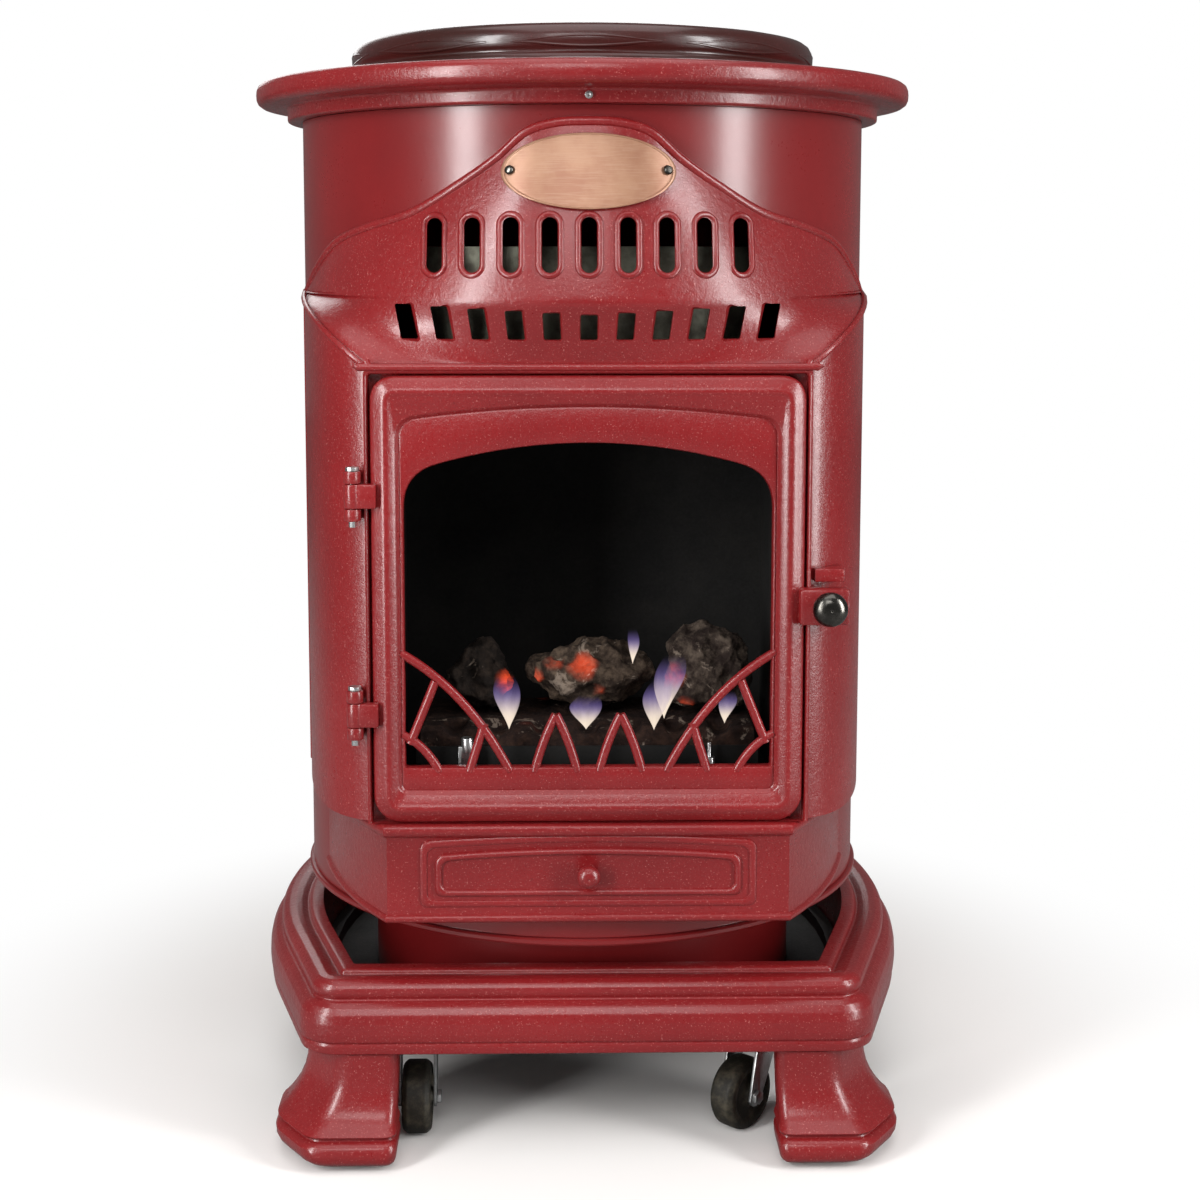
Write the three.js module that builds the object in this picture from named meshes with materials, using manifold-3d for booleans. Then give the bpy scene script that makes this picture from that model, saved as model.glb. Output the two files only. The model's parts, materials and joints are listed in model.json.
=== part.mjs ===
// Portable gas cabinet heater: a painted drum on a moulded cast base with casters, a cast front
// with a windowed door, and a lid over the controls. Millimetres, +Z up, front towards -Y.
// The origin is on the drum's axis, on the floor.
import * as THREE from "three";
import { mergeVertices } from "three/addons/utils/BufferGeometryUtils.js";
import Module from "manifold-3d";

const wasm = await Module();
wasm.setup();

// ---------------------------------------------------------------- sizes

const gap = 0.3; // between pieces that touch
const boreGap = 0.4; // between a pin and its bore, by radius
const sheet = 1.5; // folded steel sheet
const casting = 4; // wall of the cast front

// Casters, from the floor up.
const wheelRadius = 25;
const wheelWidth = 20;
const wheelSides = 16;
const hubRadius = 6;
const treadClearance = 8;
const forkPlate = 2.5;
const forkCheek = 2;
const forkRadius = 17;
const bearingRadius = 12;
const bearingHeight = 6.4;
const casterPlate = 46;
const casterPlateThickness = 2.5;
const casterTrail = 14;
const axleRadius = 3;
const axleHead = 5;
const casterX = 119;
const casterY = 148;
const casterHeight =
  2 * wheelRadius + treadClearance + forkPlate + bearingHeight + gap + casterPlateThickness;

// Deck pan: a shallow pan that hangs in the plinth and carries the casters and the pedestal.
const deckBottom = casterHeight + gap;
const deckThickness = 2.5;
const deckDepth = 10.3;
const deckFlange = deckBottom + deckDepth;
const ledgeThickness = 4;

// Base plinth. Its outline is a hexagon with rounded corners; offsets run inwards from it.
const plinthBottom = deckFlange - gap - ledgeThickness;
const plinthHeight = 50;
const plinthDepth = 213;
const plinthFrontHalf = 191;
const plinthSideHalf = 258;
const plinthCornerRadius = 30;
const plinthSideRadius = 358;
const plinthBand = 40;
const ledgeWidth = 7;

// Feet.
const footLift = 4;
const footInner = 127;
const footOuter = 195;
const footFlare = 21;
const footFront = 209;
const footToe = 20;
const footBack = 150;
const footChamfer = 26;
const footChamferRun = 37;
const casterSweep = 44;

// Drum and its pedestal.
const drumRadius = 208;
const pedestalRadius = 160;
const pedestalHeight = 80.6;
const pedestalBottom = deckBottom + deckThickness + gap;
const drumBottom = pedestalBottom + pedestalHeight + gap;
const drumFloor = 3.3;
const drumBead = 3;
const shellSeat = 0.6;
const deckMargin = 1.2;
const shellBottom = drumBottom + drumFloor - shellSeat + gap;

// Lower front panel, the casting made like an ash drawer.
const ashRise = 18.3;
const ashHeight = 67;
const ashFlatHalf = drumRadius - 74;
const ashEndAngle = 64;
const ashProud = 11;
const ashBottom = drumBottom + ashRise;
const ashTop = ashBottom + ashHeight;

// Front surround: columns, hood and crest.
const surroundGap = 0.5;
const surroundBottom = ashTop + surroundGap;
const columnProud = 9;
const sideAngle = 76.8;
const hoodRise = 302;
const hoodHeight = 42.5;
const hoodEndRise = 4;
const ridgeShift = 32;
const crestRise = 463.5;
const crestProud = 4;
const beadRadius = 3.4;
const hoodBottom = surroundBottom + hoodRise;
const ridgeZ = hoodBottom + hoodHeight;
const crestTop = surroundBottom + crestRise;
const crestClearance = 8;
const shellTop = crestTop + crestClearance;
const frontDepth = drumRadius + columnProud;
const sideX = drumRadius * Math.sin(THREE.MathUtils.degToRad(sideAngle));
const sideY = drumRadius * Math.cos(THREE.MathUtils.degToRad(sideAngle));
const hoodSide = 58.5;
const hoodHalf = sideX - hoodSide;

// Top plate, lid and controls.
const rimRadius = 241.5;
const rimHeight = 17;
const collarRadius = 219;
const collarHeight = 9.7;
const wellRadius = 159.6;
const wellLip = 8;
const panelDrop = 8.4;
const lidRadius = 172;
const lidHeight = 30.4;
const lidWall = 6;
const collarBottom = shellTop + gap;
const rimBottom = collarBottom + collarHeight;
const rimTop = rimBottom + rimHeight;
const lidBottom = rimTop + gap;
const panelTop = rimTop - panelDrop + 2;
const knobX = -45;
const knobY = -95;
const buttonX = 35;
const buttonY = -100;
const spindleRadius = 4;
const knobRadius = 20;
const knobHeight = 20;
const knobTravel = 4;
const buttonRadius = 5;
const buttonTravel = 6;
const igniterRadius = 8;
const valveWidth = 44;
const valveDepth = 36;
const valveHeight = 40;
const lidPinRadius = 3;

// Slots.
const upperSlots = 9;
const upperSlotPitch = 25;
const upperSlotWidth = 11;
const upperSlotHeight = 36;
const upperSlotZ = ridgeZ + 37;
const lowerSlots = 11;
const lowerSlotPitch = 24;
const lowerSlotWidth = 9;
const lowerSlotBottom = hoodBottom + 20;
const lowerSlotTop = ridgeZ - 9;

// Badge.
const badgeWidth = 113;
const badgeHeight = 49;
const badgeThickness = 2;
const badgeZ = ridgeZ + 84;
const badgeSeat = 1.3;
const rivetX = badgeWidth / 2 - 7;
const rivetHead = 3.4;
const rivetShank = 1.6;

// Door, in a recess of the surround.
const doorSide = 60.5;
const doorHalf = sideX - doorSide;
const doorHeight = 297;
const doorThickness = 14;
const doorClearance = 1.5;
const doorCorner = 18;
const doorRecess = 9.5;
const seatDepth = frontDepth - doorRecess;
const doorBack = seatDepth + gap;
const doorFront = doorBack + doorThickness;
const doorBottom = surroundBottom + 0.5;
const doorTop = doorBottom + doorHeight;
const doorPanelHalf = doorHalf - 18;
const doorPanelSink = 3.5;
const doorPanelBottom = doorBottom + 21;
const doorPanelSide = doorBottom + 266;
const doorPanelTop = doorBottom + 277;
const windowHalf = doorHalf - 21;
const windowBottom = doorBottom + 37;
const windowSide = doorBottom + 234;
const windowTop = doorBottom + 253;
const windowCorner = 24;
const apertureMargin = 3;
const barWidth = 4.2;
const barDepth = 6;

// Hinges and latch of the door.
const hingeX = -doorHalf - 11.5;
const hingeY = frontDepth + 3;
const hingeRadius = 5.5;
const hingePin = 2.6;
const doorLugHeight = 16;
const columnLugHeight = 8;
const hingeZ = [doorBottom + 74, doorBottom + 219];
const latchX = doorHalf + 15;
const latchZ = doorBottom + 145.5;
const latchBlock = 28.5;
const latchHeight = 24.5;
const latchFront = frontDepth + 9;
const latchBack = frontDepth - 3.2;
const latchSpindle = 3.5;
const latchKnobRadius = 11.6;
const latchKnobLength = 14;

// Firebox, burner and coals.
const fireboxHalf = doorHalf - 10.5;
const fireboxBottom = 250;
const fireboxHeight = 270;
const fireboxBack = 65;
const fireboxFront = seatDepth - casting - gap;
const burnerRadius = 5;
const stubRadius = 5;
const trayHalf = fireboxHalf - 15.5;
const trayFront = fireboxFront - 14.2;
const trayBack = 96;
const stubCentre = -(trayFront + trayBack) / 2;
const trayHeight = 22;
const bedHeight = 33;
const burnerZ = fireboxBottom + sheet + gap + burnerRadius;
const trayBottom = burnerZ + burnerRadius + gap;
const bedBottom = trayBottom + sheet + gap;
const bedTop = bedBottom + bedHeight;
const stubBottom = fireboxBottom - 18;
const coalCentre = 86;
const coalRight = 62;
const coalLeft = 52;
const coalDepth = 54;
const coalY = stubCentre - 3.5;

// Apertures in the drum.
const frontAperture = doorHalf - 2;
const frontApertureBottom = 232;
const frontApertureTop = 645;
const rearApertureAngle = 42;
const rearApertureBottom = 176;
const rearApertureTop = 655;

// Rear door.
const rearDoorAngle = 45;
const rearOverlap = 8;
const rearHingeOut = 6;
const rearPin = 2.5;
const rearKnuckle = 5;
const rearKnuckleHeight = 22;
const rearKnuckleInset = 40;
const rearEdge = 2;
const rearArm = drumRadius + rearHingeOut + 2;
const pullRadius = 11;

// Gas line.
const pipeRadius = 4;
const pipeX = -142;
const hoseRadius = 4.5;
const regulatorRadius = 25;
const regulatorHeight = 52;
const regulatorX = 166;
const regulatorY = 20;
const regulatorBottom = 600;

// ---------------------------------------------------------------- materials

const finish = (color, roughness, metalness) =>
  new THREE.MeshStandardMaterial({ color, roughness, metalness });
const paint = finish(0x8c2430, 0.4, 0.1);
const darkPaint = finish(0x4a1218, 0.45, 0.1);
const blackSteel = finish(0x141212, 0.7, 0.3);
const greySteel = finish(0x6f7066, 0.55, 0.6);
const zinc = finish(0xa8acae, 0.35, 0.9);
const copper = finish(0xd09a74, 0.45, 0.6);
const pewter = finish(0x2c2b29, 0.35, 0.8);
const rubber = finish(0x17150f, 0.8, 0);
const brass = finish(0xb08d4a, 0.35, 0.9);
const ceramic = finish(0x2b211c, 0.95, 0);
const plastic = finish(0x161616, 0.5, 0);
const hoseRubber = finish(0x30302c, 0.7, 0);

// ---------------------------------------------------------------- solids

// A closed mesh as a solid that can be joined and cut.
function solid(geometry) {
  const bare = geometry.clone();
  bare.deleteAttribute("normal");
  bare.deleteAttribute("uv");
  const merged = mergeVertices(bare, 1e-4);
  return new wasm.Manifold(
    new wasm.Mesh({
      numProp: 3,
      vertProperties: new Float32Array(merged.attributes.position.array),
      triVerts: new Uint32Array(merged.index.array),
    }),
  );
}

function geometryOf(body) {
  const mesh = body.getMesh();
  const geometry = new THREE.BufferGeometry();
  geometry.setAttribute("position", new THREE.BufferAttribute(mesh.vertProperties, 3));
  geometry.setIndex(new THREE.BufferAttribute(mesh.triVerts, 1));
  return geometry;
}

const join = (first, ...others) => others.reduce((body, next) => body.add(next), first);
const cut = (first, ...others) => others.reduce((body, next) => body.subtract(next), first);

function block(x0, x1, y0, y1, z0, z1) {
  const geometry = new THREE.BoxGeometry(x1 - x0, y1 - y0, z1 - z0);
  geometry.translate((x0 + x1) / 2, (y0 + y1) / 2, (z0 + z1) / 2);
  return solid(geometry);
}

// A round bar from one height to another, tapered where a top radius is given.
function post(x, y, z0, z1, radius, sides = 20, topRadius = radius) {
  const geometry = new THREE.CylinderGeometry(topRadius, radius, z1 - z0, sides);
  geometry.rotateX(Math.PI / 2);
  geometry.translate(x, y, (z0 + z1) / 2);
  return solid(geometry);
}

function barAlongX(x0, x1, y, z, radius, sides = 16) {
  const geometry = new THREE.CylinderGeometry(radius, radius, x1 - x0, sides);
  geometry.rotateZ(Math.PI / 2);
  geometry.translate((x0 + x1) / 2, y, z);
  return solid(geometry);
}

function barAlongY(x, y0, y1, z, radius, sides = 16) {
  const geometry = new THREE.CylinderGeometry(radius, radius, y1 - y0, sides);
  geometry.translate(x, (y0 + y1) / 2, z);
  return solid(geometry);
}

// A profile of [radius, z] points, anticlockwise, turned about the Z axis.
function turned(profile, sides) {
  const points = profile.map(([radius, z]) => new THREE.Vector2(radius, z));
  if (profile[0][0] > 0) points.push(points[0].clone());
  const geometry = new THREE.LatheGeometry(points, sides);
  geometry.rotateX(Math.PI / 2);
  return solid(geometry);
}

// An outline in X and Z, extruded from the depth y0 back to y1.
function slabAcross(outline, y0, y1, curveSteps = 8) {
  const geometry = new THREE.ExtrudeGeometry(outline, {
    depth: y1 - y0,
    bevelEnabled: false,
    curveSegments: curveSteps,
  });
  geometry.rotateX(Math.PI / 2);
  geometry.translate(0, y1, 0);
  return solid(geometry);
}

// An outline in X and Y, extruded upwards.
function slabUp(outline, z0, z1, curveSteps = 8) {
  const geometry = new THREE.ExtrudeGeometry(outline, {
    depth: z1 - z0,
    bevelEnabled: false,
    curveSegments: curveSteps,
  });
  geometry.translate(0, 0, z0);
  return solid(geometry);
}

function tube(points, radius, steps, sides) {
  const section = new THREE.Shape();
  for (let side = 0; side < sides; side++) {
    const angle = (side / sides) * 2 * Math.PI;
    const [x, y] = [radius * Math.cos(angle), radius * Math.sin(angle)];
    if (side === 0) section.moveTo(x, y);
    else section.lineTo(x, y);
  }
  section.closePath();
  const route = new THREE.CatmullRomCurve3(points.map((point) => new THREE.Vector3(...point)));
  const geometry = new THREE.ExtrudeGeometry(section, { extrudePath: route, steps });
  return solid(geometry);
}

// Rings of points, each with the same count, skinned in order. An open stack is closed by a flat
// cap on its first and last ring; a closed one joins its last ring to its first.
function skin(rings, closed) {
  const count = rings[0].length;
  const positions = rings.flat(2);
  const faces = [];
  const last = closed ? rings.length : rings.length - 1;
  for (let row = 0; row < last; row++) {
    const next = (row + 1) % rings.length;
    for (let column = 0; column < count; column++) {
      const right = (column + 1) % count;
      const a = row * count + column;
      const b = row * count + right;
      const c = next * count + right;
      const d = next * count + column;
      faces.push(a, b, c, a, c, d);
    }
  }
  if (!closed) {
    const top = (rings.length - 1) * count;
    for (let column = 1; column < count - 1; column++) {
      faces.push(0, column + 1, column);
      faces.push(top, top + column, top + column + 1);
    }
  }
  const geometry = new THREE.BufferGeometry();
  geometry.setAttribute("position", new THREE.Float32BufferAttribute(positions, 3));
  geometry.setIndex(faces);
  return solid(geometry);
}

function roundedBox(half, z0, z1, radius) {
  const outline = new THREE.Shape();
  outline.moveTo(-half + radius, z0);
  outline.lineTo(half - radius, z0);
  outline.absarc(half - radius, z0 + radius, radius, -Math.PI / 2, 0);
  outline.absarc(half - radius, z1 - radius, radius, 0, Math.PI / 2);
  outline.absarc(-half + radius, z1 - radius, radius, Math.PI / 2, Math.PI);
  outline.absarc(-half + radius, z0 + radius, radius, Math.PI, 1.5 * Math.PI);
  outline.closePath();
  return outline;
}

// A window outline with a flat foot and an arched head, which meets its sides in round corners.
function archedOutline(half, z0, side, top, corner) {
  const outline = new THREE.Shape();
  const shoulder = half - corner;
  outline.moveTo(-half, z0);
  outline.lineTo(half, z0);
  outline.lineTo(half, side - corner);
  outline.quadraticCurveTo(half, side, shoulder, side + (top - side) * 0.3);
  outline.quadraticCurveTo(shoulder / 2, top, 0, top);
  outline.quadraticCurveTo(-shoulder / 2, top, -shoulder, side + (top - side) * 0.3);
  outline.quadraticCurveTo(-half, side, -half, side - corner);
  outline.closePath();
  return outline;
}

const heater = new THREE.Group();

function place(name, body, material, group = heater) {
  const mesh = new THREE.Mesh(geometryOf(body), material);
  mesh.name = name;
  group.add(mesh);
  return mesh;
}

// ---------------------------------------------------------------- base

// The plinth's outline, moved inwards by an offset: half of the front edge, a round front corner,
// a long arc over the side, and the same mirrored to the rear and to the left.
function plinthOutline(offset, z) {
  const slope = (plinthSideHalf - plinthFrontHalf) / plinthDepth;
  const turn = Math.atan(slope);
  const depth = plinthDepth - offset;
  const sideAtAxis = plinthSideHalf - offset / Math.cos(turn);
  const sharpX = sideAtAxis - slope * depth;
  const cornerRadius = Math.max(plinthCornerRadius - offset, 3);
  const cornerTurn = Math.PI / 2 - turn;
  const cornerRun = cornerRadius * Math.tan(cornerTurn / 2);
  const sideRadius = plinthSideRadius - offset;
  const centreX = sideAtAxis - sideRadius / Math.cos(turn);
  const quarter = [];
  const cornerSteps = 4;
  for (let step = 0; step <= cornerSteps; step++) {
    const angle = -Math.PI / 2 + (cornerTurn * step) / cornerSteps;
    const x = sharpX - cornerRun + cornerRadius * Math.cos(angle);
    quarter.push([x, -depth + cornerRadius + cornerRadius * Math.sin(angle)]);
  }
  const sideSteps = 3;
  for (let step = 0; step < sideSteps; step++) {
    const angle = -turn + (turn * step) / sideSteps;
    quarter.push([centreX + sideRadius * Math.cos(angle), sideRadius * Math.sin(angle)]);
  }
  const side = [...quarter, [centreX + sideRadius, 0]];
  const rear = quarter.map(([x, y]) => [x, -y]).reverse();
  const right = [...side, ...rear];
  const left = right.map(([x, y]) => [-x, y]).reverse();
  return [...right, ...left].map(([x, y]) => [x, y, z]);
}

function basePlinth() {
  const top = plinthBottom + plinthHeight;
  const inner = plinthBand;
  const profile = [
    [inner + ledgeWidth, plinthBottom],
    [4, plinthBottom],
    [1.5, plinthBottom + 2],
    [1.5, plinthBottom + 8],
    [0, plinthBottom + 16],
    [0.5, plinthBottom + 27],
    [6, plinthBottom + 34],
    [10, plinthBottom + 35.5],
    [8, plinthBottom + 41],
    [11, plinthBottom + 47],
    [20, top - 0.5],
    [28, top - 3.5],
    [31, top],
    [inner, top],
    [inner, plinthBottom + ledgeThickness],
    [inner + ledgeWidth, plinthBottom + ledgeThickness],
  ];
  return skin(profile.map(([offset, z]) => plinthOutline(offset, z)), true);
}

function deckPan() {
  const rim = plinthBand + gap;
  const wall = plinthBand + ledgeWidth + gap;
  const top = deckFlange + deckThickness;
  const profile = [
    [wall, deckBottom],
    [wall, deckFlange],
    [rim, deckFlange],
    [rim, top],
    [wall + deckThickness, top],
    [wall + deckThickness, deckBottom + deckThickness],
  ];
  return skin(profile.map(([offset, z]) => plinthOutline(offset, z)), false);
}

// The feet are flared castings, cut away inside to leave room for the swivelling caster.
function foot() {
  const top = plinthBottom - gap;
  const flared = (share) => footFlare * share;
  const sections = [
    [footLift, 3, flared(0.45), footToe * 0.8],
    [footLift + 4, 0, flared(0.85), footToe],
    [footLift + 15, -1, flared(1), footToe * 0.95],
    [footLift + 17, 0, flared(0.85), footToe * 0.6],
    [footLift + 19, 0, flared(0.85), footToe * 0.6],
    [footLift + 22, -1, flared(0.95), footToe * 0.9],
    [footLift + 26, 0, flared(0.7), footToe * 0.5],
    [footLift + 36, 0, flared(0.3), footToe * 0.15],
    [footLift + 50, -1, 0, 0],
    [top, -1.5, 0, 0],
  ];
  const rings = sections.map(([z, inset, flare, toe]) => {
    const inner = footInner + 3 + inset;
    const outer = footOuter + flare;
    const front = -footFront - toe;
    return [
      [inner, front, z],
      [outer - footChamfer, front, z],
      [outer, front + footChamferRun, z],
      [outer, -footBack, z],
      [inner, -footBack, z],
    ];
  });
  const room = post(casterX, -casterY, 0, top + 1, casterSweep, 24);
  return cut(skin(rings, false), room);
}

function buildBase() {
  place("base_plinth", basePlinth(), paint);
  place("deck_pan", deckPan(), blackSteel);
  for (const [side, sign] of [["left", -1], ["right", 1]]) {
    for (const [end, mirror] of [["front", 1], ["rear", -1]]) {
      const mesh = place(`foot_${end}_${side}`, foot(), paint);
      mesh.scale.set(sign, mirror, 1);
    }
  }
}

// ---------------------------------------------------------------- casters

// One caster at its own origin, on the floor below its swivel; the wheel trails towards -Y.
function buildCaster(name, x, y, heading) {
  const caster = new THREE.Group();
  caster.position.set(x, y, 0);
  heater.add(caster);
  const swivel = new THREE.Group();
  swivel.rotation.z = THREE.MathUtils.degToRad(heading);
  caster.add(swivel);

  const crown = 2 * wheelRadius + treadClearance;
  const bearingTop = crown + forkPlate + bearingHeight;
  const plateBottom = bearingTop + gap;
  const half = casterPlate / 2;
  const plate = block(-half, half, -half, half, plateBottom, plateBottom + casterPlateThickness);
  place(`caster_plate_${name}`, plate, zinc, caster);

  const hubHalf = wheelWidth / 2 + 1.2;
  const cheekIn = hubHalf + gap;
  const cheekOut = cheekIn + forkCheek;
  const cheekShape = new THREE.Shape();
  cheekShape.moveTo(casterTrail - 7, wheelRadius - 2);
  cheekShape.absarc(casterTrail, wheelRadius, 7, Math.PI * 1.1, Math.PI * 1.9);
  cheekShape.lineTo(12, crown + forkPlate);
  cheekShape.lineTo(-12, crown + forkPlate);
  cheekShape.closePath();
  const cheek = (x0, x1) => {
    const settings = { depth: x1 - x0, bevelEnabled: false, curveSegments: 3 };
    const geometry = new THREE.ExtrudeGeometry(cheekShape, settings);
    geometry.rotateX(Math.PI / 2);
    geometry.rotateZ(-Math.PI / 2);
    geometry.translate(x1, 0, 0);
    return solid(geometry);
  };
  const fork = join(
    post(0, 0, crown, crown + forkPlate, forkRadius, 12),
    post(0, 0, crown + forkPlate, bearingTop, bearingRadius, 10),
    cheek(cheekIn, cheekOut),
    cheek(-cheekOut, -cheekIn),
  );
  const bore = barAlongX(-20, 20, -casterTrail, wheelRadius, axleRadius + boreGap, 8);
  place(`caster_fork_${name}`, cut(fork, bore), zinc, swivel);

  const headOut = cheekOut + gap;
  const axle = join(
    barAlongX(-headOut - 2, headOut + 2, -casterTrail, wheelRadius, axleRadius, 8),
    barAlongX(headOut, headOut + 3, -casterTrail, wheelRadius, axleHead, 6),
    barAlongX(-headOut - 3, -headOut, -casterTrail, wheelRadius, axleHead, 6),
  );
  place(`caster_axle_${name}`, axle, zinc, swivel);

  const half2 = wheelWidth / 2;
  const tread = turned(
    [
      [axleRadius + boreGap, -hubHalf],
      [hubRadius, -hubHalf],
      [hubRadius + 1, -half2],
      [wheelRadius - 3, -half2],
      [wheelRadius, -half2 + 3],
      [wheelRadius, half2 - 3],
      [wheelRadius - 3, half2],
      [hubRadius + 1, half2],
      [hubRadius, hubHalf],
      [axleRadius + boreGap, hubHalf],
    ],
    wheelSides,
  );
  const wheel = place(`caster_wheel_${name}`, tread, rubber, swivel);
  wheel.rotation.y = Math.PI / 2;
  wheel.position.set(0, -casterTrail, wheelRadius);
}

function buildCasters() {
  buildCaster("front_left", -casterX, -casterY, 0);
  buildCaster("front_right", casterX, -casterY, -43);
  buildCaster("rear_left", -casterX, casterY, 200);
  buildCaster("rear_right", casterX, casterY, 165);
}

// ---------------------------------------------------------------- drum

const drumSides = 40;
const roundSides = 40;
const lidSides = 32;

// The drum's floor, with a rolled bead at its edge and a skirt below that stands on the deck pan.
// The shell stands on a seat just below the floor's face.
function drumBase() {
  const low = drumBottom;
  const high = drumBottom + drumFloor;
  const seat = high - shellSeat;
  const bead = drumRadius + drumBead;
  const deck = drumRadius - sheet - deckMargin;
  return turned(
    [
      [0, low],
      [pedestalRadius - sheet, low],
      [pedestalRadius - sheet, pedestalBottom],
      [pedestalRadius, pedestalBottom],
      [pedestalRadius, low],
      [drumRadius - 3, low],
      [drumRadius, low - 2.5],
      [bead, low - 1],
      [bead, seat - 1],
      [bead - 1.5, seat],
      [deck, seat],
      [deck, high],
      [0, high],
    ],
    drumSides,
  );
}

// A wedge about the Z axis, open towards an azimuth, from one radius to another.
function sector(r0, r1, z0, z1, middle, halfAngle, steps = 12) {
  const outline = new THREE.Shape();
  const from = THREE.MathUtils.degToRad(middle - halfAngle);
  const to = THREE.MathUtils.degToRad(middle + halfAngle);
  outline.moveTo(r0 * Math.cos(from), r0 * Math.sin(from));
  for (let step = 0; step <= steps; step++) {
    const angle = from + ((to - from) * step) / steps;
    outline.lineTo(r1 * Math.cos(angle), r1 * Math.sin(angle));
  }
  for (let step = steps; step > 0; step--) {
    const angle = from + ((to - from) * step) / steps;
    outline.lineTo(r0 * Math.cos(angle), r0 * Math.sin(angle));
  }
  outline.closePath();
  return slabUp(outline, z0, z1);
}

function drumShell() {
  const inner = drumRadius - sheet;
  const wall = turned(
    [
      [inner, shellBottom],
      [drumRadius, shellBottom],
      [drumRadius, shellTop],
      [inner, shellTop],
    ],
    drumSides,
  );
  const front = block(
    -frontAperture,
    frontAperture,
    -drumRadius - 5,
    0,
    frontApertureBottom,
    frontApertureTop,
  );
  const rear = sector(
    inner - 20,
    drumRadius + 5,
    rearApertureBottom,
    rearApertureTop,
    90,
    rearApertureAngle,
  );
  const hookFront = regulatorX + regulatorRadius + gap;
  const hook = block(
    hookFront,
    drumRadius - 1,
    regulatorY - 8,
    regulatorY + 8,
    regulatorBottom + 6,
    regulatorBottom + 40,
  );
  const [pinX, pinY] = rearHinge();
  const bore = post(pinX, pinY, shellBottom, shellTop, rearPin + boreGap, 10);
  const shell = cut(join(wall, hook), front, rear, outsideDrum());
  return cut(join(shell, ...drumKnuckles()), bore);
}

// What lies outside the drum's outer face, near its hook.
function outsideDrum() {
  const keep = post(0, 0, -1, shellTop + 50, drumRadius, drumSides);
  const all = block(0, drumRadius + 40, -60, 90, shellBottom, shellTop);
  return cut(all, keep);
}

function rearDoor() {
  const low = rearApertureBottom - rearOverlap;
  const high = rearApertureTop + rearOverlap;
  const inner = drumRadius + 0.6;
  const outer = inner + sheet;
  const span = rearDoorAngle - rearEdge / 2;
  const leaf = sector(inner, outer, low, high, 90 + rearEdge / 2, span, 16);
  const [x, y] = rearHinge();
  const knuckles = rearKnuckles(1).flatMap(([z0, z1]) => [
    post(x, y, z0, z1, rearKnuckle, 10),
    sector(inner, rearArm, z0, z1, 90 - rearDoorAngle + rearEdge, rearEdge, 3),
  ]);
  const pull = join(
    barAlongX(0.5, 20, 0, 0, 5, 12),
    barAlongX(16, 24, 0, 0, pullRadius, 16),
  );
  const handle = pull
    .translate([inner, 0, (low + high) / 2])
    .rotate([0, 0, 90 + rearDoorAngle - 8]);
  const bore = post(x, y, low - 1, high + 1, rearPin + boreGap, 10);
  return cut(join(leaf, ...knuckles, handle), bore);
}

function rearHinge() {
  const angle = THREE.MathUtils.degToRad(90 - rearDoorAngle);
  const radius = drumRadius + rearHingeOut;
  return [radius * Math.cos(angle), radius * Math.sin(angle)];
}

// The drum's own knuckles on the rear hinge, each with an arm to the shell.
function drumKnuckles() {
  const [x, y] = rearHinge();
  const arm = 90 - rearDoorAngle - rearEdge;
  return rearKnuckles(0).flatMap(([z0, z1]) => [
    post(x, y, z0, z1, rearKnuckle, 10),
    sector(drumRadius - 1, rearArm, z0, z1, arm, rearEdge, 3),
  ]);
}

// Heights of the knuckles on the rear hinge: 1 for the door's, 0 for the drum's.
function rearKnuckles(which) {
  const low = rearApertureBottom - rearOverlap;
  const high = rearApertureTop + rearOverlap;
  const knuckle = rearKnuckleHeight;
  const places = [low + rearKnuckleInset, high - rearKnuckleInset - 3 * knuckle];
  const steps = which ? [1] : [0, 2];
  return places.flatMap((z) =>
    steps.map((step) => [
      z + step * knuckle + (which ? gap : 0),
      z + (step + 1) * knuckle - (which ? gap : 0),
    ]),
  );
}

// ---------------------------------------------------------------- top

function topPlate() {
  const well = wellRadius + gap;
  const lip = wellRadius - wellLip;
  const ledge = panelTop - 2 - gap;
  return turned(
    [
      [lip, ledge - 4],
      [drumRadius - 14, ledge - 4],
      [drumRadius - 4, collarBottom],
      [collarRadius, collarBottom],
      [collarRadius, rimBottom],
      [rimRadius - 4, rimBottom + 1],
      [rimRadius, rimBottom + 5],
      [rimRadius, rimTop - 5],
      [rimRadius - 5, rimTop],
      [well, rimTop],
      [well, ledge],
      [lip, ledge],
    ],
    roundSides,
  );
}

function topLid() {
  const inner = lidRadius - lidWall;
  const top = lidBottom + lidHeight;
  const shell = turned(
    [
      [inner, lidBottom],
      [lidRadius - 2, lidBottom],
      [lidRadius, lidBottom + 4],
      [lidRadius - 1, lidBottom + 22],
      [lidRadius - 6, top - 1],
      [lidRadius - 16, top],
      [lidRadius - 40, top - 2],
      [0, top - 2],
      [0, top - 2 - lidWall],
      [inner - 8, top - 2 - lidWall],
      [inner, lidBottom + 18],
    ],
    lidSides,
  );
  const knuckle = lidKnuckle(-lidKnuckleHalf, lidKnuckleHalf, lidRadius - 5);
  return cut(join(shell, knuckle), lidBore());
}

// The lid's pin lies just behind its edge, low enough to leave the edge free as the lid lifts.
const lidPinY = lidRadius + 9;
const lidPinZ = lidBottom + 7;
const lidKnuckleHalf = 22;
const lidEar = 8;
const lidKnuckleRadius = 6;

function lidKnuckle(x0, x1, y0) {
  const eye = barAlongX(x0, x1, lidPinY, lidPinZ, lidKnuckleRadius, 12);
  const arm = block(x0, x1, y0, lidPinY, lidPinZ - 4, lidPinZ + 4);
  return join(eye, arm);
}

const lidBore = () => barAlongX(-60, 60, lidPinY, lidPinZ, lidPinRadius + boreGap, 10);

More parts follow.
